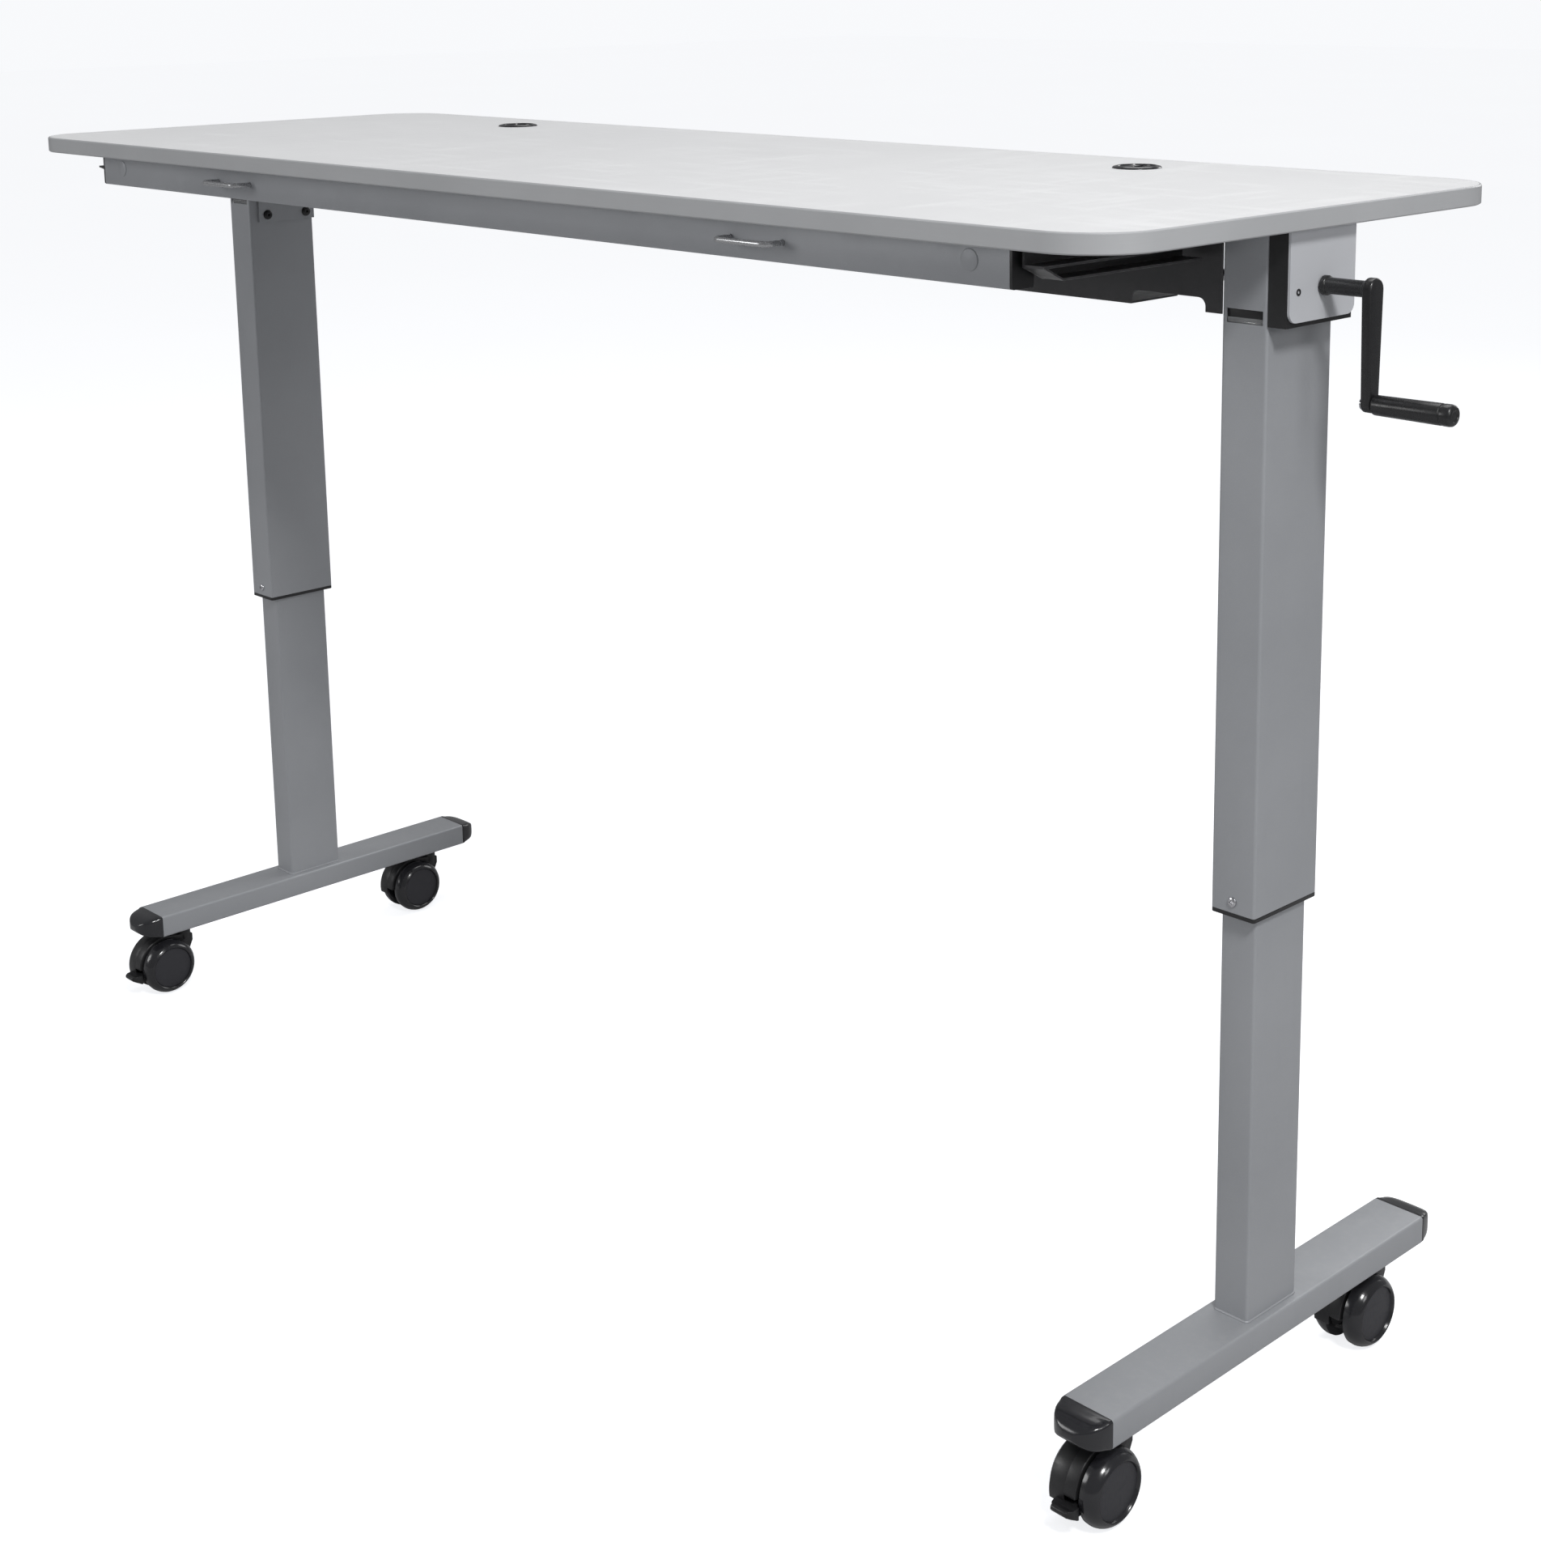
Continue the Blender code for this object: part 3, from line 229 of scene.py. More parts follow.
def refine(node, name, material, width, segments):
    # a merged copy of a CAD node with its sheet and tube edges rounded
    source = frame["nodes"][node]
    piece = bpy.data.objects.new(name, source.data.copy())
    bpy.context.scene.collection.objects.link(piece)
    pick(piece)
    bpy.ops.object.mode_set(mode="EDIT")
    bpy.ops.mesh.select_all(action="SELECT")
    bpy.ops.mesh.remove_doubles(threshold=cadMergeGap)
    flat, anyShape, creaseAngle = math.radians(1), math.radians(180), 30
    bpy.ops.mesh.tris_convert_to_quads(face_threshold=flat, shape_threshold=anyShape)
    bpy.ops.object.mode_set(mode="OBJECT")
    bpy.ops.mesh.customdata_custom_splitnormals_clear()
    smooth(piece, creaseAngle)
    bevelPiece(piece, width, segments, creaseAngle, harden=True)  # flat sheet keeps flat shading
    return standFor(piece, node, material)


# node groups that the finishes share
def newGroup(name, inputs, outputs):
    group = bpy.data.node_groups.new(name, "ShaderNodeTree")
    for label, value in inputs.items():
        socket = group.interface.new_socket(name=label, in_out="INPUT", socket_type="NodeSocketFloat")
        socket.default_value = value
    for label in outputs:
        group.interface.new_socket(name=label, in_out="OUTPUT", socket_type="NodeSocketFloat")
    entry = group.nodes.new("NodeGroupInput")
    leave = group.nodes.new("NodeGroupOutput")
    return group, entry, leave


def addNode(tree, kind, **settings):
    node = tree.nodes.new(kind)
    for label, value in settings.items():
        setattr(node, label, value)
    return node


def mathNode(tree, operation, first, second=None, clamp=False):
    node = addNode(tree, "ShaderNodeMath", operation=operation, use_clamp=clamp)
    for index, value in enumerate((first, second)):
        if value is None:
            continue
        if isinstance(value, (int, float)):
            node.inputs[index].default_value = value
        else:
            tree.links.new(value, node.inputs[index])
    return node.outputs[0]


def rangeNode(tree, value, fromLow, fromHigh, toLow=0.0, toHigh=1.0):
    node = addNode(tree, "ShaderNodeMapRange")
    tree.links.new(value, node.inputs["Value"])
    limits = {"From Min": fromLow, "From Max": fromHigh, "To Min": toLow, "To Max": toHigh}
    for label, number in limits.items():
        node.inputs[label].default_value = number
    return node.outputs[0]


def objectNoise(tree, scale, detail=2.0, stretch=(1, 1, 1)):
    # noise on Object coordinates; scale is a number or a group input
    where = addNode(tree, "ShaderNodeTexCoord")
    mapping = addNode(tree, "ShaderNodeMapping")
    mapping.inputs["Scale"].default_value = stretch
    noise = addNode(tree, "ShaderNodeTexNoise")
    noise.inputs["Detail"].default_value = detail
    tree.links.new(where.outputs["Object"], mapping.inputs["Vector"])
    tree.links.new(mapping.outputs["Vector"], noise.inputs["Vector"])
    if isinstance(scale, (int, float)):
        noise.inputs["Scale"].default_value = scale
    else:
        tree.links.new(scale, noise.inputs["Scale"])
    return noise.outputs["Fac"]


def makePeel():
    # fine orange peel of sprayed or moulded skins, with slow cloudiness and bright flecks
    inputs, outputs = {"Grain": 800.0, "Cloud": 6.0}, ("Height", "Cloud", "Fleck")
    group, entry, leave = newGroup("skinTexture", inputs, outputs)
    grain = objectNoise(group, entry.outputs["Grain"], 3.0)
    cloud = objectNoise(group, entry.outputs["Cloud"], 4.0)
    where = addNode(group, "ShaderNodeTexCoord")
    cells = addNode(group, "ShaderNodeTexVoronoi")
    group.links.new(where.outputs["Object"], cells.inputs["Vector"])
    group.links.new(entry.outputs["Grain"], cells.inputs["Scale"])
    group.links.new(grain, leave.inputs["Height"])
    group.links.new(rangeNode(group, cloud, 0.35, 0.65), leave.inputs["Cloud"])
    group.links.new(rangeNode(group, cells.outputs["Distance"], 0.32, 0.12), leave.inputs["Fleck"])
    return group


def makeEdgeWearAndHighlight():
    # paler edges, partly rubbed bare and partly a painted highlight along the rounded edges: where a rounded
    # normal leaves the true one, broken up by noise
    group, entry, leave = newGroup("edgeWearAndHighlight", {"Radius": 0.001, "Amount": 1.0}, ("Mask",))
    rounded = addNode(group, "ShaderNodeBevel", samples=4)
    group.links.new(entry.outputs["Radius"], rounded.inputs["Radius"])
    surface = addNode(group, "ShaderNodeNewGeometry")
    match = addNode(group, "ShaderNodeVectorMath", operation="DOT_PRODUCT")
    group.links.new(rounded.outputs["Normal"], match.inputs[0])
    group.links.new(surface.outputs["Normal"], match.inputs[1])
    edge = rangeNode(group, match.outputs["Value"], 0.99, 0.80)
    patches = rangeNode(group, objectNoise(group, 90.0, 4.0), 0.38, 0.62)
    mask = mathNode(group, "MULTIPLY", edge, patches)
    mask = mathNode(group, "MULTIPLY", mask, entry.outputs["Amount"], clamp=True)
    group.links.new(mask, leave.inputs["Mask"])
    return group


def makeDust():
    # thin dust that settles on what faces up
    group, entry, leave = newGroup("settledDust", {"Amount": 0.3}, ("Mask",))
    surface = addNode(group, "ShaderNodeNewGeometry")
    split = addNode(group, "ShaderNodeSeparateXYZ")
    group.links.new(surface.outputs["Normal"], split.inputs["Vector"])
    upward = rangeNode(group, split.outputs["Z"], 0.2, 1.0)
    specks = rangeNode(group, objectNoise(group, 140.0, 6.0), 0.45, 0.75)
    mask = mathNode(group, "MULTIPLY", upward, specks)
    mask = mathNode(group, "MULTIPLY", mask, entry.outputs["Amount"], clamp=True)
    group.links.new(mask, leave.inputs["Mask"])
    return group


def makeScuff():
    # thin handling marks in two directions, for gloss that isn't even
    group, entry, leave = newGroup("handlingMarks", {"Size": 30.0}, ("Mask",))
    along = objectNoise(group, entry.outputs["Size"], 5.0, (1, 9, 2))
    across = objectNoise(group, entry.outputs["Size"], 5.0, (8, 1, 3))
    marks = mathNode(group, "MAXIMUM", along, across)
    group.links.new(rangeNode(group, marks, 0.52, 0.74), leave.inputs["Mask"])
    return group


skinTexture = makePeel()
edgeWearAndHighlight = makeEdgeWearAndHighlight()
settledDust = makeDust()
handlingMarks = makeScuff()


def useGroup(tree, group, values):
    node = addNode(tree, "ShaderNodeGroup", node_tree=group)
    for label, value in values.items():
        node.inputs[label].default_value = value
    return node


def blendColour(tree, mask, first, second):
    node = addNode(tree, "ShaderNodeMix", data_type="RGBA")
    tree.links.new(mask, node.inputs["Factor"])
    for socket, value in ((node.inputs[6], first), (node.inputs[7], second)):
        if isinstance(value, tuple):
            socket.default_value = (*value, 1)
        else:
            tree.links.new(value, socket)
    return node.outputs[2]


usualLook = {
    "cloud": 6.0, "edge": 0.5, "edgeRadius": 0.001, "dust": 0.1, "dustColour": (0.55, 0.54, 0.52),
    "dustGrit": 0.35, "markSize": 30.0, "fleck": 0.0, "streakDepth": 0.3, "bumpDepth": 0.0002, "fixed": {},
}


def makeFinish(name, ownLook):
    # the common build of every finish; ownLook holds what differs from the usual
    look = {"fleckColour": ownLook["light"], **usualLook, **ownLook}
    material = bpy.data.materials.new(name)
    material.use_nodes = True
    tree = material.node_tree
    shader = tree.nodes["Principled BSDF"]
    for label, value in look["fixed"].items():
        shader.inputs[label].default_value = value
    skin = useGroup(tree, skinTexture, {"Grain": look["grain"], "Cloud": look["cloud"]})
    wearAndHighlight = useGroup(tree, edgeWearAndHighlight, {"Radius": look["edgeRadius"], "Amount": look["edge"]})
    dust = useGroup(tree, settledDust, {"Amount": look["dust"]})
    marks = useGroup(tree, handlingMarks, {"Size": look["markSize"]})
    colour = blendColour(tree, skin.outputs["Cloud"], look["dark"], look["light"])
    flecks = mathNode(tree, "MULTIPLY", skin.outputs["Fleck"], look["fleck"])
    colour = blendColour(tree, flecks, colour, look["fleckColour"])
    if "streak" in look:
        streak = rangeNode(tree, objectNoise(tree, look["streakScale"], 4.0, look["streak"]), 0.3, 0.7)
        streak = mathNode(tree, "MULTIPLY", streak, look["streakDepth"])
        colour = blendColour(tree, streak, colour, look["dark"])
    # paler edges: partly wear, partly a painted highlight standing in for light caught on the rounded edges
    colour = blendColour(tree, wearAndHighlight.outputs["Mask"], colour, look["edgeColour"])
    colour = blendColour(tree, dust.outputs["Mask"], colour, look["dustColour"])
    tree.links.new(colour, shader.inputs["Base Color"])
    low, high = look["roughness"]
    rough = rangeNode(tree, marks.outputs["Mask"], 0.0, 1.0, low, high)
    grit = mathNode(tree, "MULTIPLY", dust.outputs["Mask"], look["dustGrit"])
    rough = mathNode(tree, "ADD", rough, grit, clamp=True)
    tree.links.new(rough, shader.inputs["Roughness"])
    if "metal" in look:
        metal = rangeNode(tree, skin.outputs["Fleck"], 0.0, 1.0, *look["metal"])
        tree.links.new(metal, shader.inputs["Metallic"])
    height = skin.outputs["Height"]
    if "streak" in look:
        height = mathNode(tree, "ADD", height, streak)
    bump = addNode(tree, "ShaderNodeBump")
    bump.inputs["Strength"].default_value = look["bump"]
    bump.inputs["Distance"].default_value = look["bumpDepth"]
    tree.links.new(height, bump.inputs["Height"])
    tree.links.new(bump.outputs["Normal"], shader.inputs["Normal"])
    return material


laminate = makeFinish("greyLaminate", {
    "dark": (0.735, 0.738, 0.745), "light": (0.765, 0.768, 0.774), "fleck": 0.25,
    "fleckColour": (0.66, 0.66, 0.67), "edgeColour": (0.82, 0.82, 0.82), "edge": 0.2,
    "roughness": (0.40, 0.52), "markSize": 7.0, "cloud": 2.2, "grain": 1400.0, "bump": 0.10,
    "bumpDepth": 0.0001, "dust": 0.03, "dustColour": (0.68, 0.68, 0.67),
})
bandPlastic = makeFinish("edgeBandGrey", {
    "dark": (0.375, 0.382, 0.392), "light": (0.405, 0.412, 0.422), "edgeColour": (0.52, 0.53, 0.54),
    "edge": 0.6, "roughness": (0.36, 0.48), "markSize": 18.0, "grain": 900.0, "bump": 0.12,
    "dust": 0.05, "streak": (1, 1, 40), "streakScale": 24.0, "streakDepth": 0.35,
})
frameCoat = makeFinish("silverGreyPowderCoat", {
    "dark": (0.315, 0.325, 0.343), "light": (0.350, 0.360, 0.378), "fleck": 0.30,
    "fleckColour": (0.46, 0.47, 0.49), "edgeColour": (0.47, 0.48, 0.50), "edge": 0.45,
    "roughness": (0.40, 0.50), "metal": (0.22, 0.40), "grain": 950.0, "bump": 0.32,
    "bumpDepth": 0.00025, "dust": 0.10, "markSize": 9.0, "cloud": 4.0,
})
coverCoat = makeFinish("lightGreyPowderCoat", {
    "dark": (0.50, 0.51, 0.535), "light": (0.54, 0.55, 0.575), "fleck": 0.2,
    "fleckColour": (0.62, 0.63, 0.65), "edgeColour": (0.68, 0.69, 0.70), "edge": 0.5,
    "roughness": (0.38, 0.48), "metal": (0.10, 0.25), "grain": 950.0, "bump": 0.28,
    "bumpDepth": 0.00025, "dust": 0.06, "markSize": 9.0, "cloud": 4.0,
})
# near-black coat; on the cross channel it is painted shade, the frame's grey darkened to the shadow under the
# board, while on the arms, hinge leaves and bearing blocks it is their dark powder coat
darkCoatAndPaintedShade = makeFinish("darkPowderCoatAndPaintedShade", {
    "dark": (0.034, 0.034, 0.036), "light": (0.046, 0.046, 0.048), "fleck": 0.3,
    "fleckColour": (0.08, 0.08, 0.08), "edgeColour": (0.26, 0.26, 0.26), "edge": 0.8,
    "roughness": (0.42, 0.55), "metal": (0.05, 0.3), "grain": 950.0, "bump": 0.35, "bumpDepth": 0.00025,
    "dust": 0.06, "markSize": 12.0,
})
mouldedBlack = makeFinish("mouldedBlackPlastic", {
    "dark": (0.010, 0.010, 0.011), "light": (0.014, 0.014, 0.015), "edgeColour": (0.035, 0.035, 0.038),
    "edge": 0.4, "roughness": (0.34, 0.44), "grain": 2600.0, "bump": 0.08, "bumpDepth": 0.0001,
    "dust": 0.03, "markSize": 40.0, "dustColour": (0.10, 0.10, 0.10),
})
glossBlack = makeFinish("glossBlackPlastic", {
    "dark": (0.011, 0.011, 0.013), "light": (0.015, 0.015, 0.018), "edgeColour": (0.03, 0.03, 0.033),
    "edge": 0.3, "roughness": (0.18, 0.27), "grain": 1800.0, "bump": 0.012, "bumpDepth": 0.0001,
    "dust": 0.03, "markSize": 50.0, "dustColour": (0.10, 0.10, 0.10),
    "fixed": {"Coat Weight": 0.3, "Coat Roughness": 0.12},
})
discBlack = makeFinish("satinWheelDisc", {
    "dark": (0.022, 0.022, 0.027), "light": (0.027, 0.027, 0.032), "edgeColour": (0.05, 0.05, 0.055),
    "edge": 0.3, "roughness": (0.45, 0.55), "grain": 2400.0, "bump": 0.10, "bumpDepth": 0.0001,
    "dust": 0.02, "markSize": 60.0, "dustColour": (0.10, 0.10, 0.10),
})
brightSteel = makeFinish("platedSteel", {
    "dark": (0.52, 0.52, 0.54), "light": (0.66, 0.66, 0.68), "edgeColour": (0.82, 0.82, 0.83),
    "edge": 0.5, "roughness": (0.20, 0.34), "grain": 700.0, "bump": 0.08, "dust": 0.04,
    "markSize": 80.0, "streak": (14, 1, 1), "streakScale": 90.0, "streakDepth": 0.3,
    "fixed": {"Metallic": 1.0},
})
satinBlack = makeFinish("satinBlackCrank", {
    "dark": (0.011, 0.011, 0.012), "light": (0.015, 0.015, 0.016), "edgeColour": (0.04, 0.04, 0.043),
    "edge": 0.4, "roughness": (0.26, 0.36), "grain": 2200.0, "bump": 0.015, "bumpDepth": 0.0001,
    "dust": 0.03, "markSize": 35.0, "dustColour": (0.10, 0.10, 0.10),
})
blackSteel = makeFinish("blackenedSteel", {
    "dark": (0.020, 0.020, 0.021), "light": (0.035, 0.035, 0.036), "edgeColour": (0.20, 0.20, 0.20),
    "edge": 0.7, "roughness": (0.28, 0.42), "metal": (0.6, 0.9), "grain": 1200.0, "bump": 0.12,
    "dust": 0.05, "markSize": 90.0,
})
pullSteel = makeFinish("satinSteelWire", {
    "dark": (0.40, 0.405, 0.415), "light": (0.50, 0.505, 0.515), "edgeColour": (0.66, 0.66, 0.67),
    "edge": 0.3, "roughness": (0.26, 0.38), "metal": (0.75, 0.95), "grain": 1100.0, "bump": 0.12,
    "dust": 0.05, "markSize": 60.0,
})
bronzeMetal = makeFinish("machinedBronze", {
    "dark": (0.42, 0.28, 0.14), "light": (0.55, 0.38, 0.20), "edgeColour": (0.68, 0.52, 0.32),
    "edge": 0.6, "roughness": (0.28, 0.42), "grain": 600.0, "bump": 0.10, "dust": 0.02,
    "streak": (1, 1, 18), "streakScale": 120.0, "streakDepth": 0.4, "fixed": {"Metallic": 1.0},
})
clearPlastic = makeFinish("clearPlastic", {
    "dark": (0.72, 0.74, 0.75), "light": (0.86, 0.87, 0.88), "edgeColour": (0.95, 0.95, 0.95),
    "edge": 0.8, "roughness": (0.06, 0.22), "grain": 300.0, "bump": 0.25, "bumpDepth": 0.0006,
    "dust": 0.05, "markSize": 60.0, "fixed": {"Transmission Weight": 0.85, "IOR": 1.49},
})
print("finishes made")


# each sheet, tube or turned node: its new name, finish, edge rounding and steps in that rounding
middlePieces = {
    "worktop": ("boardCore", laminate, 0.0003, 2),
    "edge_band": ("edgeBand", bandPlastic, 0.0005, 2),
    "front_beam": ("frontBeam", frameCoat, 0.0004, 2),
}
sidePieces = {
    "beam_cap_": ("BeamCap", mouldedBlack, 0.0005, 2),
    "support_arm_": ("SupportArm", darkCoatAndPaintedShade, 0.0004, 2),
    "hinge_leaf_": ("HingeLeaf", darkCoatAndPaintedShade, 0.0004, 2),
    "wiper_": ("Wiper", mouldedBlack, 0.0004, 2),
    "bearing_block_": ("BearingBlock", darkCoatAndPaintedShade, 0.0004, 2),
    "end_plate_": ("EndPlate", frameCoat, 0.0005, 2),
    "outer_tube_": ("OuterTube", frameCoat, 0.0004, 2),
    "inner_tube_": ("InnerTube", frameCoat, 0.0004, 2),
    "foot_tube_": ("FootTube", frameCoat, 0.0004, 2),
    "lead_screw_": ("LeadScrew", brightSteel, 0.0004, 2),
    "screw_nut_": ("ScrewNut", bronzeMetal, 0.0005, 2),
    "drive_gear_": ("DriveGear", brightSteel, 0.0002, 1),
    "screw_gear_": ("ScrewGear", brightSteel, 0.0002, 1),
}
drivePieces = {
    # the cross channel's near-black coat is painted shade from the board above
    "cross_channel": ("crossChannel", darkCoatAndPaintedShade, 0.0005, 2),
    "gearbox_housing": ("gearboxHousing", mouldedBlack, 0.0008, 3),
    "drive_shaft": ("driveShaft", brightSteel, 0.0005, 2),
    "grip_pin": ("gripPin", brightSteel, 0.0004, 2),
    "cover_plate": ("coverPlate", coverCoat, 0.0009, 3),
}
for node, (title, material, rounding, steps) in middlePieces.items():
    refine(node, title, material, rounding, steps)
for side in ("left", "right"):
    for node, (title, material, rounding, steps) in sidePieces.items():
        refine(node + side, side + title, material, rounding, steps)
for node, (title, material, rounding, steps) in drivePieces.items():
    refine(node, title, material, rounding, steps)
print("frame pieces refined")


# casters; the axle's place is (back from the stem, above the floor), angles are in degrees
caster = {
    "discRadius": 0.0276, "rimRadius": 0.0296, "wheelBore": 0.0045, "axle": (-0.033, 0.038), "stemTop": 0.087,
    "bossRadius": 0.0105, "bodyHalf": 0.009, "hoodRadius": 0.0410, "hoodEdge": 0.0014, "wingRadius": 0.0412,
    "wingFrom": 98, "wingTo": 192, "wingReach": 0.0218, "wingThickness": 0.0020, "wingOverlap": 0.004,
    "wingEdge": 0.0007, "lipReach": 0.0130, "lipEdge": 0.0020, "lipRound": 0.0105, "lipNose": 0.0540,
    "lipBack": 0.0392,
}


def makeWheel():
    # centre at the world origin, disc side towards +X
    low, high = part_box("wheel_outer_front_right")
    radius, half = (high.z - low.z) / 2, (high.x - low.x) / 2
    disc, rim = caster["discRadius"], caster["rimRadius"]
    bore = caster["wheelBore"]
    discFacing = 0.7  # faces that look out at least this much are the disc
    profile = [
        (0.0, half - 0.0022), (disc * 0.5, half - 0.0023), (disc - 0.0012, half - 0.0028),
        (disc, half - 0.0030), (disc + 0.0006, half - 0.0018), (disc + 0.0012, half - 0.0005),
        (rim, half), (rim + 0.0010, half - 0.0004), (rim + 0.0026, half - 0.0014),
        (radius - 0.0040, half - 0.0034), (radius - 0.0024, half - 0.0058),
        (radius - 0.0010, half - 0.0088), (radius - 0.0002, half - 0.0120), (radius, half - 0.0140),
        (radius - 0.0004, 0.0014 - half), (radius - 0.0026, 0.0006 - half), (radius - 0.0060, -half),
        (radius - 0.0090, -half), (radius - 0.0098, 0.0035 - half), (0.0130, 0.0035 - half),
        (0.0120, -half), (bore, -half), (bore, half - 0.0056), (0.0, half - 0.0056),
    ]
    wheel = turnPiece("wheelMaster", profile, (0, 0, 0), "X", 72)
    wheel.data.materials.append(glossBlack)
    wheel.data.materials.append(discBlack)
    for face in wheel.data.polygons:
        out = math.hypot(face.center.y, face.center.z)
        face.material_index = int(out < disc - 0.0002 and face.normal.x > discFacing)
    return smooth(wheel, 40)


def makeHood():
    # stem axis at the world origin, floor at z = 0, wheels trailing towards -Y
    stemTop, axle, boss = caster["stemTop"], caster["axle"], caster["bossRadius"]
    half, reach, outer = caster["bodyHalf"], caster["wingReach"], caster["wingRadius"]
    core = arcPoints(axle, caster["hoodRadius"], 178, 72, 20)
    core += [(boss, 0.0720), (boss, 0.0620), (0.0040, 0.0480)]
    core += [(axle[0] + 0.012, 0.0280), (axle[0] - 0.006, 0.0260), (axle[0] - 0.020, 0.0340)]
    hood = cutSheet("hoodMaster", [(-half, y, z) for y, z in core], (2 * half, 0, 0))
    bevelPiece(hood, caster["hoodEdge"], 3, 40)
    rim = arcPoints(axle, outer, caster["wingFrom"], caster["wingTo"], 22)
    rim += arcPoints(axle, outer - caster["wingThickness"], caster["wingTo"], caster["wingFrom"], 22)
    wing = cutSheet("wing", [(-reach, y, z) for y, z in rim], (reach - caster["wingOverlap"], 0, 0))
    bevelPiece(wing, caster["wingEdge"], 3, 40)
    combine(hood, wing, "UNION")
    stem = [
        (0.0, stemTop - 0.021), (0.0095, stemTop - 0.021), (boss, stemTop - 0.019),
        (boss, stemTop - 0.0022), (0.0098, stemTop - 0.0004), (0.0055, stemTop - 0.0003),
        (0.0055, stemTop + 0.0168), (0.0047, stemTop + 0.0180), (0.0, stemTop + 0.0180),
    ]
    combine(hood, turnPiece("boss", stem, (0, 0, 0), "Z", 40), "UNION")
    pin = [
        (0.0, -0.0236), (0.0036, -0.0236), (0.0040, -0.0230),
        (0.0040, 0.0230), (0.0036, 0.0236), (0.0, 0.0236),
    ]
    combine(hood, turnPiece("axlePin", pin, (0, *axle), "X", 28), "UNION")
    return smooth(hood, 40)


def makePedal():
    # same datum as the hood; the lip rolls out from between the wheels
    axle, reach, half = caster["axle"], caster["lipReach"], caster["bodyHalf"]
    lip = [
        (-18, -17.4), (-18, -12.5), (-28, -5.5), (-36, -4.4), (-42, -4.2), (-46.5, -4.7), (-50.2, -4.1),
        (-52.6, -4.4), (-53.8, -6.0), (-53.9, -8.4), (-52.4, -10.6), (-49.0, -12.3), (-45.0, -14.2),
        (-41.5, -16.4), (-38.0, -17.4),
    ]
    lip = [(axle[0] + y / 1000, axle[1] + z / 1000) for y, z in lip]
    pedal = cutSheet("pedalMaster", [(-half, y, z) for y, z in lip], (2 * half, 0, 0))
    wide = cutSheet("lip", [(-reach, y, z) for y, z in lip], (2 * reach, 0, 0))
    front, back = axle[0] - caster["lipNose"], axle[0] - caster["lipBack"]
    rounding = caster["lipRound"]
    lobe = [(-reach, back), *arcPoints((rounding - reach, front + rounding), rounding, 180, 270, 8)]
    lobe += arcPoints((reach - rounding, front + rounding), rounding, 270, 360, 8) + [(reach, back)]
    combine(wide, cutSheet("lobe", [(x, y, 0.010) for x, y in lobe], (0, 0, 0.040)), "INTERSECT")
    combine(pedal, wide, "UNION")
    bevelPiece(pedal, caster["lipEdge"], 3, 50)
    return smooth(pedal, 50)


wheelMaster, hoodMaster, pedalMaster = makeWheel(), makeHood(), makePedal()
for side in ("left", "right"):
    for end in ("front", "rear"):
        spot = end + "_" + side
        low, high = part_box("caster_hood_" + spot)
        stem = Vector(((low.x + high.x) / 2, high.y - caster["bossRadius"], 0))
        hood = copyPiece(hoodMaster, "casterHood_" + spot, stem)
        standFor(hood, "caster_hood_" + spot, mouldedBlack)
        for half in ("inner", "outer"):
            node = "wheel_" + half + "_" + spot
            low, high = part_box(node)
            centre = (low + high) / 2
            turn = 0 if centre.x > stem.x else 180  # the disc looks away from the hood
            wheel = copyPiece(wheelMaster, node + "_tread", centre, (0, 0, turn))
            standFor(wheel, node)
        if end == "front":
            pedal = copyPiece(pedalMaster, "brakePedal_" + side, stem)
            standFor(pedal, "brake_pedal_" + spot, mouldedBlack)
for master in (wheelMaster, hoodMaster, pedalMaster):
    bpy.data.objects.remove(master)
print("casters made")


# foot caps; tubeWalls is what both walls and their clearance take off the plug
footCap = {
    "length": 0.0300, "width": 0.060, "height": 0.030, "corner": 0.003, "tubeWalls": 0.0046,
    "plugDepth": 0.012, "plugBack": 0.0117, "planCurve": 2.3, "sideCurve": 2.2, "rings": 16,
    "noseAngle": 87, "crispEdge": 0.004, "rounding": 8,
}


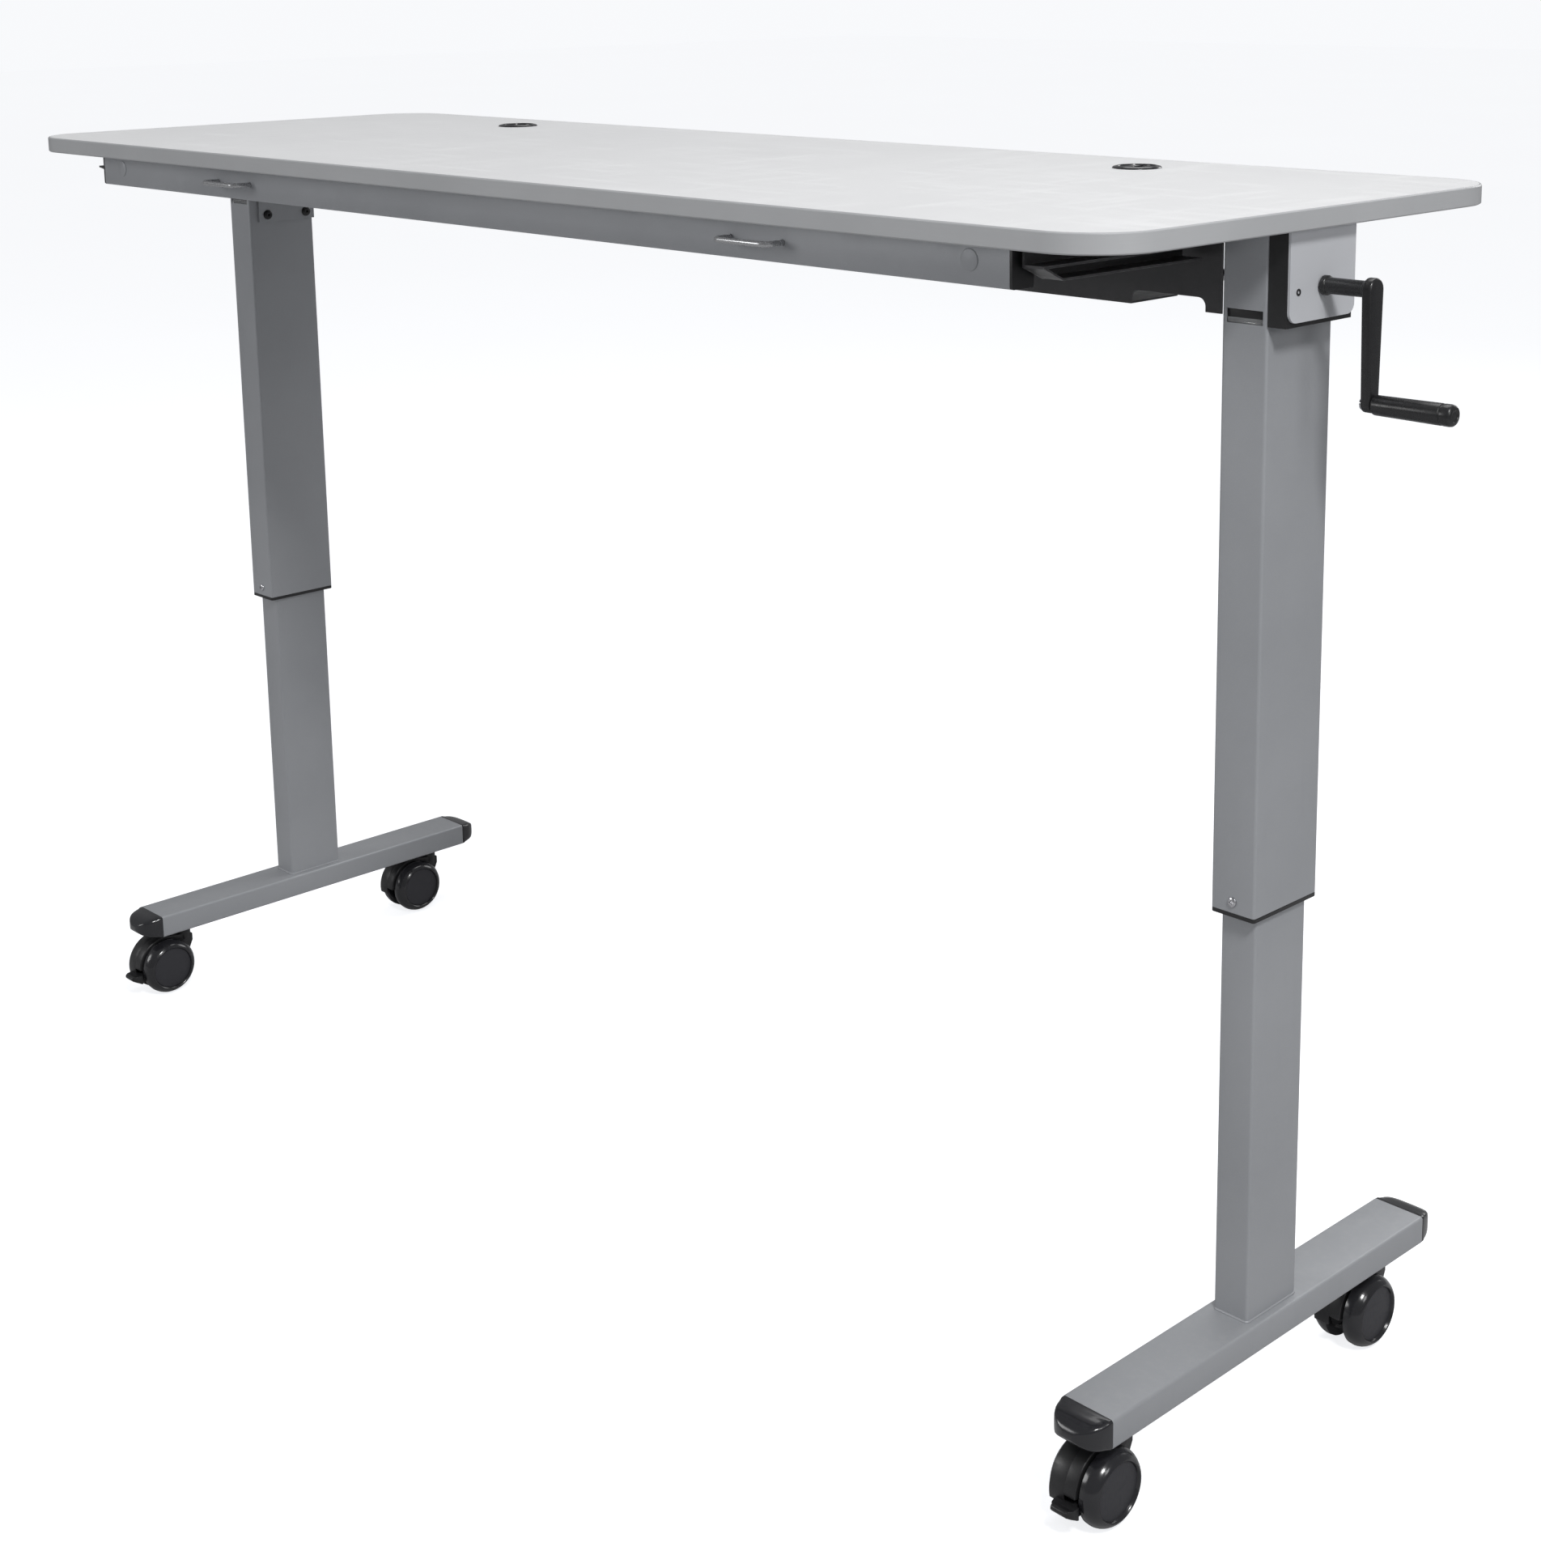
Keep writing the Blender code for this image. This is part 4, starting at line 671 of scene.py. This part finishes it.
def makeFootCap(name, node, toward):
    low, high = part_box(node)
    centre = (low + high) / 2
    inner = high.y if toward < 0 else low.y
    seat = inner + toward * footCap["plugDepth"]
    width, height, walls = footCap["width"], footCap["height"], footCap["tubeWalls"]
    spot, upright = (centre.x, seat, centre.z), (math.radians(90), 0, 0)
    clearSelection()
    bpy.ops.mesh.primitive_plane_add(size=1, location=spot, rotation=upright)
    piece = bpy.context.active_object
    piece.name = name
    piece.scale = (width - walls, height - walls, 1)
    piece.location.y = seat - toward * footCap["plugBack"]
    bakePlace(piece)
    bpy.ops.object.mode_set(mode="EDIT")
    bpy.ops.mesh.select_all(action="SELECT")
    bpy.ops.mesh.bevel(offset=footCap["corner"], segments=5, affect="VERTICES")
    bpy.ops.mesh.extrude_region_move(TRANSFORM_OT_translate={"value": (0, toward * footCap["plugDepth"], 0)})
    centre = Vector(spot)
    flange = (width / (width - walls), 1, height / (height - walls))
    bpy.ops.mesh.extrude_region_move(TRANSFORM_OT_translate={"value": (0, 0, 0)})
    bpy.ops.transform.resize(value=flange, center_override=centre)
    wide, tall, reached = 1.0, 1.0, 0.0
    rings = footCap["rings"]
    for ring in range(1, rings + 1):
        share = math.sin(math.radians(footCap["noseAngle"]) * ring / rings)
        newWide = (1 - share ** footCap["planCurve"]) ** (1 / footCap["planCurve"])
        newTall = (1 - share ** footCap["sideCurve"]) ** (1 / footCap["sideCurve"])
        travel = footCap["length"] * (share - reached)
        bpy.ops.mesh.extrude_region_move(TRANSFORM_OT_translate={"value": (0, toward * travel, 0)})
        centre.y += toward * travel
        bpy.ops.transform.resize(value=(newWide / wide, 1, newTall / tall), center_override=centre)
        wide, tall, reached = newWide, newTall, share
    bpy.ops.mesh.select_all(action="SELECT")
    bpy.ops.mesh.remove_doubles(threshold=mergeGap)
    bpy.ops.mesh.normals_make_consistent(inside=False)
    bpy.ops.mesh.select_all(action="DESELECT")
    bpy.ops.object.mode_set(mode="OBJECT")
    for point in piece.data.vertices:
        point.select = (point.co.y - seat) * toward > footCap["crispEdge"]
    bpy.ops.object.mode_set(mode="EDIT")
    bpy.ops.mesh.vertices_smooth(factor=0.5, repeat=footCap["rounding"])  # corners melt towards the nose
    bpy.ops.object.mode_set(mode="OBJECT")
    smooth(piece, 45)
    return standFor(piece, node, glossBlack)


for side in ("left", "right"):
    makeFootCap("footCap_front_" + side, "foot_cap_front_" + side, -1)
    makeFootCap("footCap_rear_" + side, "foot_cap_rear_" + side, 1)
print("foot caps made")


# crank arm and grip; overcut is how far a cutter runs past what it cuts
crank = {
    "hub": 0.0108, "tip": 0.0078, "sleeve": 0.0075, "boss": 0.0091, "edge": 0.0022, "groove": 0.0009,
    "thickness": 0.010, "shaftBore": 0.0058, "shaftStop": 0.0002, "pinBore": 0.0043, "overcut": 0.005,
}


def makeCrank():
    low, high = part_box("crank_arm")
    gripLow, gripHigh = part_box("crank_grip")
    y = (low.y + high.y) / 2
    top, bottom = high.z - crank["hub"], (gripLow.z + gripHigh.z) / 2
    thick = crank["thickness"]
    start = high.x - thick
    lean = math.degrees(math.asin((crank["hub"] - crank["tip"]) / (top - bottom)))
    outline = arcPoints((y, top), crank["hub"], -lean, 180 + lean, 24)
    outline += arcPoints((y, bottom), crank["tip"], 180 + lean, 360 - lean, 20)
    arm = cutSheet("crankArm", [(start, u, v) for u, v in outline], (thick, 0, 0))
    bevelPiece(arm, crank["edge"], 4, 40)
    sleeve, boss = crank["sleeve"], crank["boss"]
    face, pinRadius, overcut = low.x, crank["pinBore"], crank["overcut"]
    profile = [
        (0.0, face), (boss - 0.0006, face), (boss, face + 0.0006), (boss, face + 0.0044),
        (boss - 0.0004, face + 0.0051), (sleeve + 0.0002, face + 0.0056), (sleeve, face + 0.0066),
        (sleeve, start - 0.0030), (sleeve + 0.0004, start - 0.0016), (sleeve + 0.0016, start - 0.0004),
        (sleeve + 0.0018, start + 0.0020), (0.0, start + 0.0020),
    ]
    combine(arm, turnPiece("sleeve", profile, (0, y, top), "X", 56), "UNION")
    radius, stop = crank["shaftBore"], start + crank["shaftStop"]
    bore = [(0.0, face - overcut), (radius, face - overcut), (radius, stop), (0.0, stop)]
    combine(arm, turnPiece("bore", bore, (0, y, top), "X", 40))
    near, far = start - overcut, high.x + overcut
    pinBore = [(0.0, near), (pinRadius, near), (pinRadius, far), (0.0, far)]
    combine(arm, turnPiece("pinBore", pinBore, (0, y, bottom), "X", 40))
    smooth(arm, 40)
    standFor(arm, "crank_arm", satinBlack)
    end, rear, groove = gripHigh.x, gripLow.x, crank["groove"]
    profile = [
        (0.0, end - 0.0130), (pinRadius, end - 0.0130), (pinRadius, rear), (0.0078, rear),
        (0.0088, rear + 0.0006), (0.0092, rear + 0.0020), (0.0094, rear + 0.0200),
        (0.0097, rear + 0.0450), (0.0100, end - 0.0135), (0.0099, end - 0.0124),
        (0.0100 - groove, end - 0.0118), (0.0100 - groove, end - 0.0108), (0.0099, end - 0.0102),
        (0.0100, end - 0.0092), (0.0100, end - 0.0042), (0.0096, end - 0.0020), (0.0086, end - 0.0007),
        (0.0070, end - 0.0001), (0.0058, end), (0.0052, end - 0.0006), (0.0045, end - 0.0009),
        (0.0030, end - 0.0008), (0.0, end - 0.0007),
    ]
    grip = turnPiece("crankGrip", profile, (0, y, bottom), "X", 64)
    smooth(grip, 35)
    standFor(grip, "crank_grip", satinBlack)


makeCrank()
print("crank made")


# cable grommets: rings that stand on the board and caps that turn in them
grommet = {
    "flange": 0.0260, "hole": 0.0219, "mouth": 0.01975, "rise": 0.0026, "cap": 0.0194, "capDrop": 0.0018,
    "capThickness": 0.0030, "slot": 0.0100, "slotSet": 0.002, "border": 0.0016, "step": 0.0008,
    "stepDepth": 0.0006, "capEdge": 0.0004,
}


def makeGrommet(side):
    ringNode, capNode = "grommet_ring_" + side, "grommet_cap_" + side
    low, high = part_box(ringNode)
    faceZ = high.z - grommet["rise"]  # the board's upper face
    centre = Vector(((low.x + high.x) / 2, (low.y + high.y) / 2, faceZ))
    flange, hole, mouth = grommet["flange"], grommet["hole"], grommet["mouth"]
    profile = [
        (hole, -0.0180), (hole, -0.0006), (flange - 0.0003, -0.0005), (flange, 0.0003),
        (flange - 0.0004, 0.0012), (flange - 0.0012, 0.0018), (flange - 0.0024, 0.0020),
        (flange - 0.0030, 0.0017), (hole + 0.0009, 0.0019), (hole + 0.0002, 0.0024),
        (hole - 0.0006, 0.0026), (mouth + 0.0008, 0.0025), (mouth + 0.0001, 0.0018), (mouth, 0.0008),
        (mouth, -0.0021), (mouth - 0.0020, -0.0021), (mouth - 0.0020, -0.0040), (mouth, -0.0050),
        (mouth - 0.0002, -0.0178), (hole - 0.0006, -0.0180), (hole, -0.0180),
    ]
    ring = turnPiece("grommetRing_" + side, profile, centre, "Z", 80)
    smooth(ring, 40)
    standFor(ring, ringNode, glossBlack)
    half = grommet["slot"] / 2
    angle = math.degrees(math.asin(half / grommet["cap"]))
    outline = arcPoints((centre.x, centre.y), grommet["cap"], 90 + angle, 450 - angle, 56)
    outline += arcPoints((centre.x, centre.y + grommet["slotSet"]), half, 0, -180, 12)
    under, travel = centre.z - grommet["capDrop"], (0, 0, grommet["capThickness"])
    cap = cutSheet("grommetCap_" + side, [(u, v, under) for u, v in outline], travel)
    facesFacing(cap, (0, 0, 1))
    bpy.ops.mesh.inset(thickness=grommet["border"], depth=0)
    bpy.ops.mesh.inset(thickness=grommet["step"], depth=-grommet["stepDepth"])
    bpy.ops.object.mode_set(mode="OBJECT")
    bevelPiece(cap, grommet["capEdge"], 2, 40)
    smooth(cap, 40)
    standFor(cap, capNode, glossBlack)


makeGrommet("left")
makeGrommet("right")
print("grommets made")


# latch pulls: a bent wire, a crossbar behind the beam and a tongue of sheet
pull = {
    "wire": 0.0028, "bend": 0.0085, "behindBeam": 0.013, "overlap": 0.003, "crossbar": 0.006,
    "crossbarHeight": 0.010, "crossbarEdge": 0.0008, "tongue": 0.016, "tongueSheet": 0.004,
    "tongueEdge": 0.0006,
}


def makePull(side):
    node = "latch_pull_" + side
    low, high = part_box(node)
    z, y = (low.z + high.z) / 2, low.y + pull["wire"]
    left, right = low.x + pull["crossbar"], high.x - pull["crossbar"]
    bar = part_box("front_beam")[1].y + pull["behindBeam"]
    bend, inBar = pull["bend"], bar + pull["overlap"]
    path = [(left, inBar), *arcPoints((left + bend, y + bend), bend, 180, 270, 10)]
    path += arcPoints((right - bend, y + bend), bend, 270, 360, 10) + [(right, inBar)]
    wire = bendWire("latchPull_" + side, [(u, v, z) for u, v in path], pull["wire"])
    tall = pull["crossbarHeight"] / 2
    crossbar = addBlock("crossbar", (low.x, bar, z - tall), (high.x, bar + pull["crossbar"], z + tall))
    bevelPiece(crossbar, pull["crossbarEdge"])
    combine(wire, crossbar, "UNION")
    middle, half, sheet = (low.x + high.x) / 2, pull["tongue"] / 2, pull["tongueSheet"] / 2
    tongue = addBlock("tongue", (middle - half, inBar, z - sheet), (middle + half, high.y, z + sheet))
    bevelPiece(tongue, pull["tongueEdge"])
    combine(wire, tongue, "UNION")
    smooth(wire, 40)
    standFor(wire, node, pullSteel)


makePull("left")
makePull("right")
print("pulls made")


# screws and beam plugs; across is a place along Y, out is a distance from the board's middle
screw = {
    "head": 0.0048, "rise": 0.0024, "recess": 0.0013, "recessHalf": 0.00055, "overcut": 0.001,
    "socket": 0.0023, "smallSocket": 0.0014,
}
fixing = {
    "wiperHeight": 0.548, "plateHeight": 1.081, "plateAcross": (-0.009, 0.052), "plateThickness": 0.004,
    "leafShares": (0.72, 0.28), "leafFromRear": 0.009, "leafBelow": 0.0025,
    "plugOut": 0.736, "plugHeight": 1.167, "coverHeight": 1.128, "coverAcross": (-0.0225, 0.0466),
}


def makePanScrew():
    # head up along +Z, seat at the world origin
    head, rise = screw["head"], screw["rise"]
    profile = [
        (0.0, -0.0006), (head * 0.9, -0.0006), (head, 0.0002), (head, rise * 0.35),
        (head * 0.94, rise * 0.62), (head * 0.78, rise * 0.85), (head * 0.5, rise * 0.97), (0.0, rise),
    ]
    piece = turnPiece("panScrewMaster", profile, (0, 0, 0), "Z", 36)
    arm, width = head * 0.52, screw["recessHalf"]
    deep, above = rise - screw["recess"], rise + screw["overcut"]
    cross = addBlock("cross", (-arm, -width, deep), (arm, width, above))
    combine(cross, addBlock("crossArm", (-width, -arm, deep), (width, arm, above)), "UNION")
    combine(piece, cross)
    return smooth(piece, 30)


def makeSocketScrew():
    # a low round head with a hexagon socket, head up along +Z
    profile = [
        (0.0, -0.0006), (0.0062, -0.0006), (0.0065, 0.0), (0.0065, 0.0010), (0.0060, 0.0021),
        (0.0046, 0.0029), (0.0030, 0.0031), (0.0, 0.0031),
    ]
    piece = turnPiece("socketScrewMaster", profile, (0, 0, 0), "Z", 40)
    socket = arcPoints((0, 0), screw["socket"], 0, 300, 5)
    combine(piece, cutSheet("socket", [(u, v, 0.0008) for u, v in socket], (0, 0, 0.004)))
    return smooth(piece, 30)


def makeCountersunk():
    # flush dark head with a hexagon socket, in a shallow well
    profile = [
        (0.0, -0.0006), (0.0030, -0.0006), (0.0034, 0.0), (0.0033, 0.0004), (0.0028, 0.0006),
        (0.0022, 0.0003), (0.0, 0.0003),
    ]
    piece = turnPiece("countersunkMaster", profile, (0, 0, 0), "Z", 32)
    socket = arcPoints((0, 0), screw["smallSocket"], 0, 300, 5)
    combine(piece, cutSheet("socket", [(u, v, -0.0004) for u, v in socket], (0, 0, 0.003)))
    return smooth(piece, 30)


def turnFor(direction):
    # degrees that bring +Z to another axis direction
    turns = {
        (0, 0, -1): (180, 0, 0), (0, -1, 0): (90, 0, 0), (0, 1, 0): (-90, 0, 0),
        (1, 0, 0): (0, 90, 0), (-1, 0, 0): (0, -90, 0),
    }
    return turns[direction]


def drive(master, name, spot, direction, body, material):
    return place(copyPiece(master, name, spot, turnFor(direction)), body, material)


panMaster, socketMaster, sunkMaster = makePanScrew(), makeSocketScrew(), makeCountersunk()
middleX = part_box("worktop")[0].x / 2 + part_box("worktop")[1].x / 2
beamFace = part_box("front_beam")[0].y
for side, sign in (("left", -1), ("right", 1)):
    low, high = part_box("outer_tube_" + side)
    columnX = (low.x + high.x) / 2
    for end, y, facing in (("front", low.y, -1), ("rear", high.y, 1)):
        name, spot = "wiperScrew_" + end + "_" + side, (columnX, y, fixing["wiperHeight"])
        drive(panMaster, name, spot, (0, facing, 0), "frame", brightSteel)
    plateLow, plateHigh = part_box("end_plate_" + side)
    thickness = fixing["plateThickness"]
    face = plateLow.x + thickness if side == "left" else plateHigh.x - thickness
    for index, y in enumerate(fixing["plateAcross"]):
        name, spot = "plateScrew_" + str(index + 1) + "_" + side, (face, y, fixing["plateHeight"])
        drive(socketMaster, name, spot, (-sign, 0, 0), "frame", blackSteel)
    leafLow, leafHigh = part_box("hinge_leaf_" + side)
    near, far = fixing["leafShares"]
    y, z = leafHigh.y - fixing["leafFromRear"], leafHigh.z - fixing["leafBelow"]
    for index, x in enumerate((leafLow.x * near + leafHigh.x * far, leafLow.x * far + leafHigh.x * near)):
        name = "leafScrew_" + str(index + 1) + "_" + side
        drive(panMaster, name, (x, y, z), (0, 0, -1), "top", brightSteel)
    plug = [
        (0.0, 0.0), (0.0098, 0.0), (0.0100, -0.0003), (0.0098, -0.0006), (0.0092, -0.0008), (0.0, -0.0009),
    ]
    spot = (middleX + sign * fixing["plugOut"], beamFace, fixing["plugHeight"])
    cover = turnPiece("beamPlug_" + side, plug, spot, "Y", 48)
    place(smooth(cover, 40), "top", frameCoat)
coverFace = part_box("cover_plate")[1].x
for index, y in enumerate(fixing["coverAcross"]):
    name, spot = "coverScrew_" + str(index + 1), (coverFace, y, fixing["coverHeight"])
    drive(sunkMaster, name, spot, (1, 0, 0), "frame", blackSteel)
for master in (panMaster, socketMaster, sunkMaster):
    bpy.data.objects.remove(master)


slotTrim = {
    "bottom": 1.0965, "wall": 0.002, "guideHalf": 0.0215, "guideFrom": 0.0003, "guideTo": 0.006,
    "guideBelow": 0.003, "guideAbove": 0.016, "guideEdge": 0.0008, "stripHalf": 0.0190, "stripFrom": 0.0006,
    "stripTo": 0.0001, "stripBelow": 0.0004, "stripAbove": 0.0052, "border": 0.0009, "borderDepth": 0.0004,
    "stripEdge": 0.0004,
}


def makeSlotTrim(side):
    # dark guide and clear strip behind the slot in a column's front
    low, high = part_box("outer_tube_" + side)
    middle, wall, bottom = (low.x + high.x) / 2, low.y + slotTrim["wall"], slotTrim["bottom"]
    half = slotTrim["guideHalf"]
    near = (middle - half, wall + slotTrim["guideFrom"], bottom - slotTrim["guideBelow"])
    far = (middle + half, wall + slotTrim["guideTo"], bottom + slotTrim["guideAbove"])
    guide = addBlock("slotGuide_" + side, near, far)
    bevelPiece(guide, slotTrim["guideEdge"])
    place(smooth(guide), "frame", mouldedBlack)
    half = slotTrim["stripHalf"]
    near = (middle - half, low.y + slotTrim["stripFrom"], bottom + slotTrim["stripBelow"])
    far = (middle + half, wall + slotTrim["stripTo"], bottom + slotTrim["stripAbove"])
    strip = addBlock("slotStrip_" + side, near, far)
    facesFacing(strip, (0, -1, 0))
    bpy.ops.mesh.inset(thickness=slotTrim["border"], depth=-slotTrim["borderDepth"])
    bpy.ops.object.mode_set(mode="OBJECT")
    bevelPiece(strip, slotTrim["stripEdge"], 2, 40)
    place(smooth(strip, 40), "frame", clearPlastic)


weld = {"corner": 0.004, "bead": 0.0014, "rise": 0.0002}


def makeWeldBead(side):
    # one bead round the foot of an inner tube
    low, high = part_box("inner_tube_" + side)
    corner = weld["corner"]
    path = []
    for x, y, start in ((high.x, high.y, 0), (low.x, high.y, 90), (low.x, low.y, 180), (high.x, low.y, 270)):
        towardX = math.copysign(corner, x - (low.x + high.x) / 2)
        towardY = math.copysign(corner, y - (low.y + high.y) / 2)
        path += arcPoints((x - towardX, y - towardY), corner, start, start + 90, 5)
    route = [(u, v, low.z + weld["rise"]) for u, v in path]
    bead = bendWire("footWeld_" + side, route, weld["bead"], closed=True)
    place(smooth(bead, 60), "leg_" + side, frameCoat)


for side in ("left", "right"):
    makeSlotTrim(side)
    makeWeldBead(side)
print("fasteners and trim made")


# floor, light and camera
studio = {
    "floorSize": 60.0, "floorDark": (0.48, 0.48, 0.485), "floorPale": (0.50, 0.50, 0.505),
    "floorRoughness": 0.7, "floorLift": 0.80, "worldStrength": 0.29, "backdrop": 0.97,
    "tint": (0.97, 0.98, 1.0), "aim": (0.0, 0.0, 0.7),
}
lamps = {
    "keyLight": {"spot": (3.4, -1.6, 4.2), "size": 0.9, "power": 140.0},
    "frontLight": {"spot": (-3.2, -4.3, 2.4), "size": 2.2, "power": 62.0},
    "topLight": {"spot": (-0.6, 1.6, 4.6), "size": 3.2, "power": 64.0},
    "sideLight": {"spot": (3.0, -0.4, 1.8), "size": 0.8, "power": 9.0},
    "rearLight": {"spot": (0.4, 5.0, 2.6), "size": 2.6, "power": 45.0},
}
view = {
    "spot": (2.0894, -1.8078, 1.4240), "yaw": 45.546, "pitch": 11.228, "roll": -0.639,
    "sensor": 36.0, "lens": 56.147, "shiftX": -0.0499, "shiftY": -0.2186, "farthest": 200.0,
}


def makeFloor():
    clearSelection()
    bpy.ops.mesh.primitive_plane_add(size=studio["floorSize"])
    floor = bpy.context.active_object
    floor.name = "studioFloor"
    material = bpy.data.materials.new("paleFloor")
    material.use_nodes = True
    tree = material.node_tree
    shader = tree.nodes["Principled BSDF"]
    cloud = rangeNode(tree, objectNoise(tree, 0.7, 3.0), 0.3, 0.7)
    colour = blendColour(tree, cloud, studio["floorDark"], studio["floorPale"])
    tree.links.new(colour, shader.inputs["Base Color"])
    shader.inputs["Roughness"].default_value = studio["floorRoughness"]
    ray = addNode(tree, "ShaderNodeLightPath")
    shader.inputs["Emission Color"].default_value = (*studio["tint"], 1)
    glow = mathNode(tree, "MULTIPLY", ray.outputs["Is Camera Ray"], studio["floorLift"])
    tree.links.new(glow, shader.inputs["Emission Strength"])
    floor.data.materials.append(material)


def makeLight(name, spot, size, power):
    clearSelection()
    aim = Vector(studio["aim"]) - Vector(spot)
    bpy.ops.object.light_add(type="AREA", location=spot, rotation=aim.to_track_quat("-Z", "Y").to_euler())
    lamp = bpy.context.active_object
    lamp.name = name
    lamp.data.shape = "DISK"
    lamp.data.size = size
    lamp.data.energy = power


def makeCamera():
    # yaw turns from +Y towards -X, pitch looks down, roll leans the view
    yaw, pitch, roll = (math.radians(view[angle]) for angle in ("yaw", "pitch", "roll"))
    ahead = Vector((-math.sin(yaw) * math.cos(pitch), math.cos(yaw) * math.cos(pitch), -math.sin(pitch)))
    level = Vector((math.cos(yaw), math.sin(yaw), 0))
    up = level.cross(ahead)
    across = level * math.cos(roll) + up * math.sin(roll)
    up = up * math.cos(roll) - level * math.sin(roll)
    bpy.ops.object.camera_add(location=view["spot"])
    camera = bpy.context.active_object
    camera.name = "viewCamera"
    camera.rotation_euler = Matrix((across, up, -ahead)).transposed().to_euler()
    camera.data.sensor_width = view["sensor"]
    camera.data.lens = view["lens"]
    camera.data.shift_x = view["shiftX"]
    camera.data.shift_y = view["shiftY"]
    camera.data.clip_end = view["farthest"]
    bpy.context.scene.camera = camera


makeFloor()
for name, lamp in lamps.items():
    makeLight(name, lamp["spot"], lamp["size"], lamp["power"])
makeCamera()
world = bpy.data.worlds.new("studioWorld")
bpy.context.scene.world = world
world.use_nodes = True
sky = world.node_tree.nodes["Background"]
sky.inputs["Color"].default_value = (*studio["tint"], 1)
seen = addNode(world.node_tree, "ShaderNodeLightPath")
strengths = studio["worldStrength"], studio["backdrop"]  # what lights the object, what the camera sees
lift = rangeNode(world.node_tree, seen.outputs["Is Camera Ray"], 0.0, 1.0, *strengths)
world.node_tree.links.new(lift, sky.inputs["Strength"])
bpy.context.scene.view_settings.view_transform = "Standard"
print("studio made")

clearSelection()
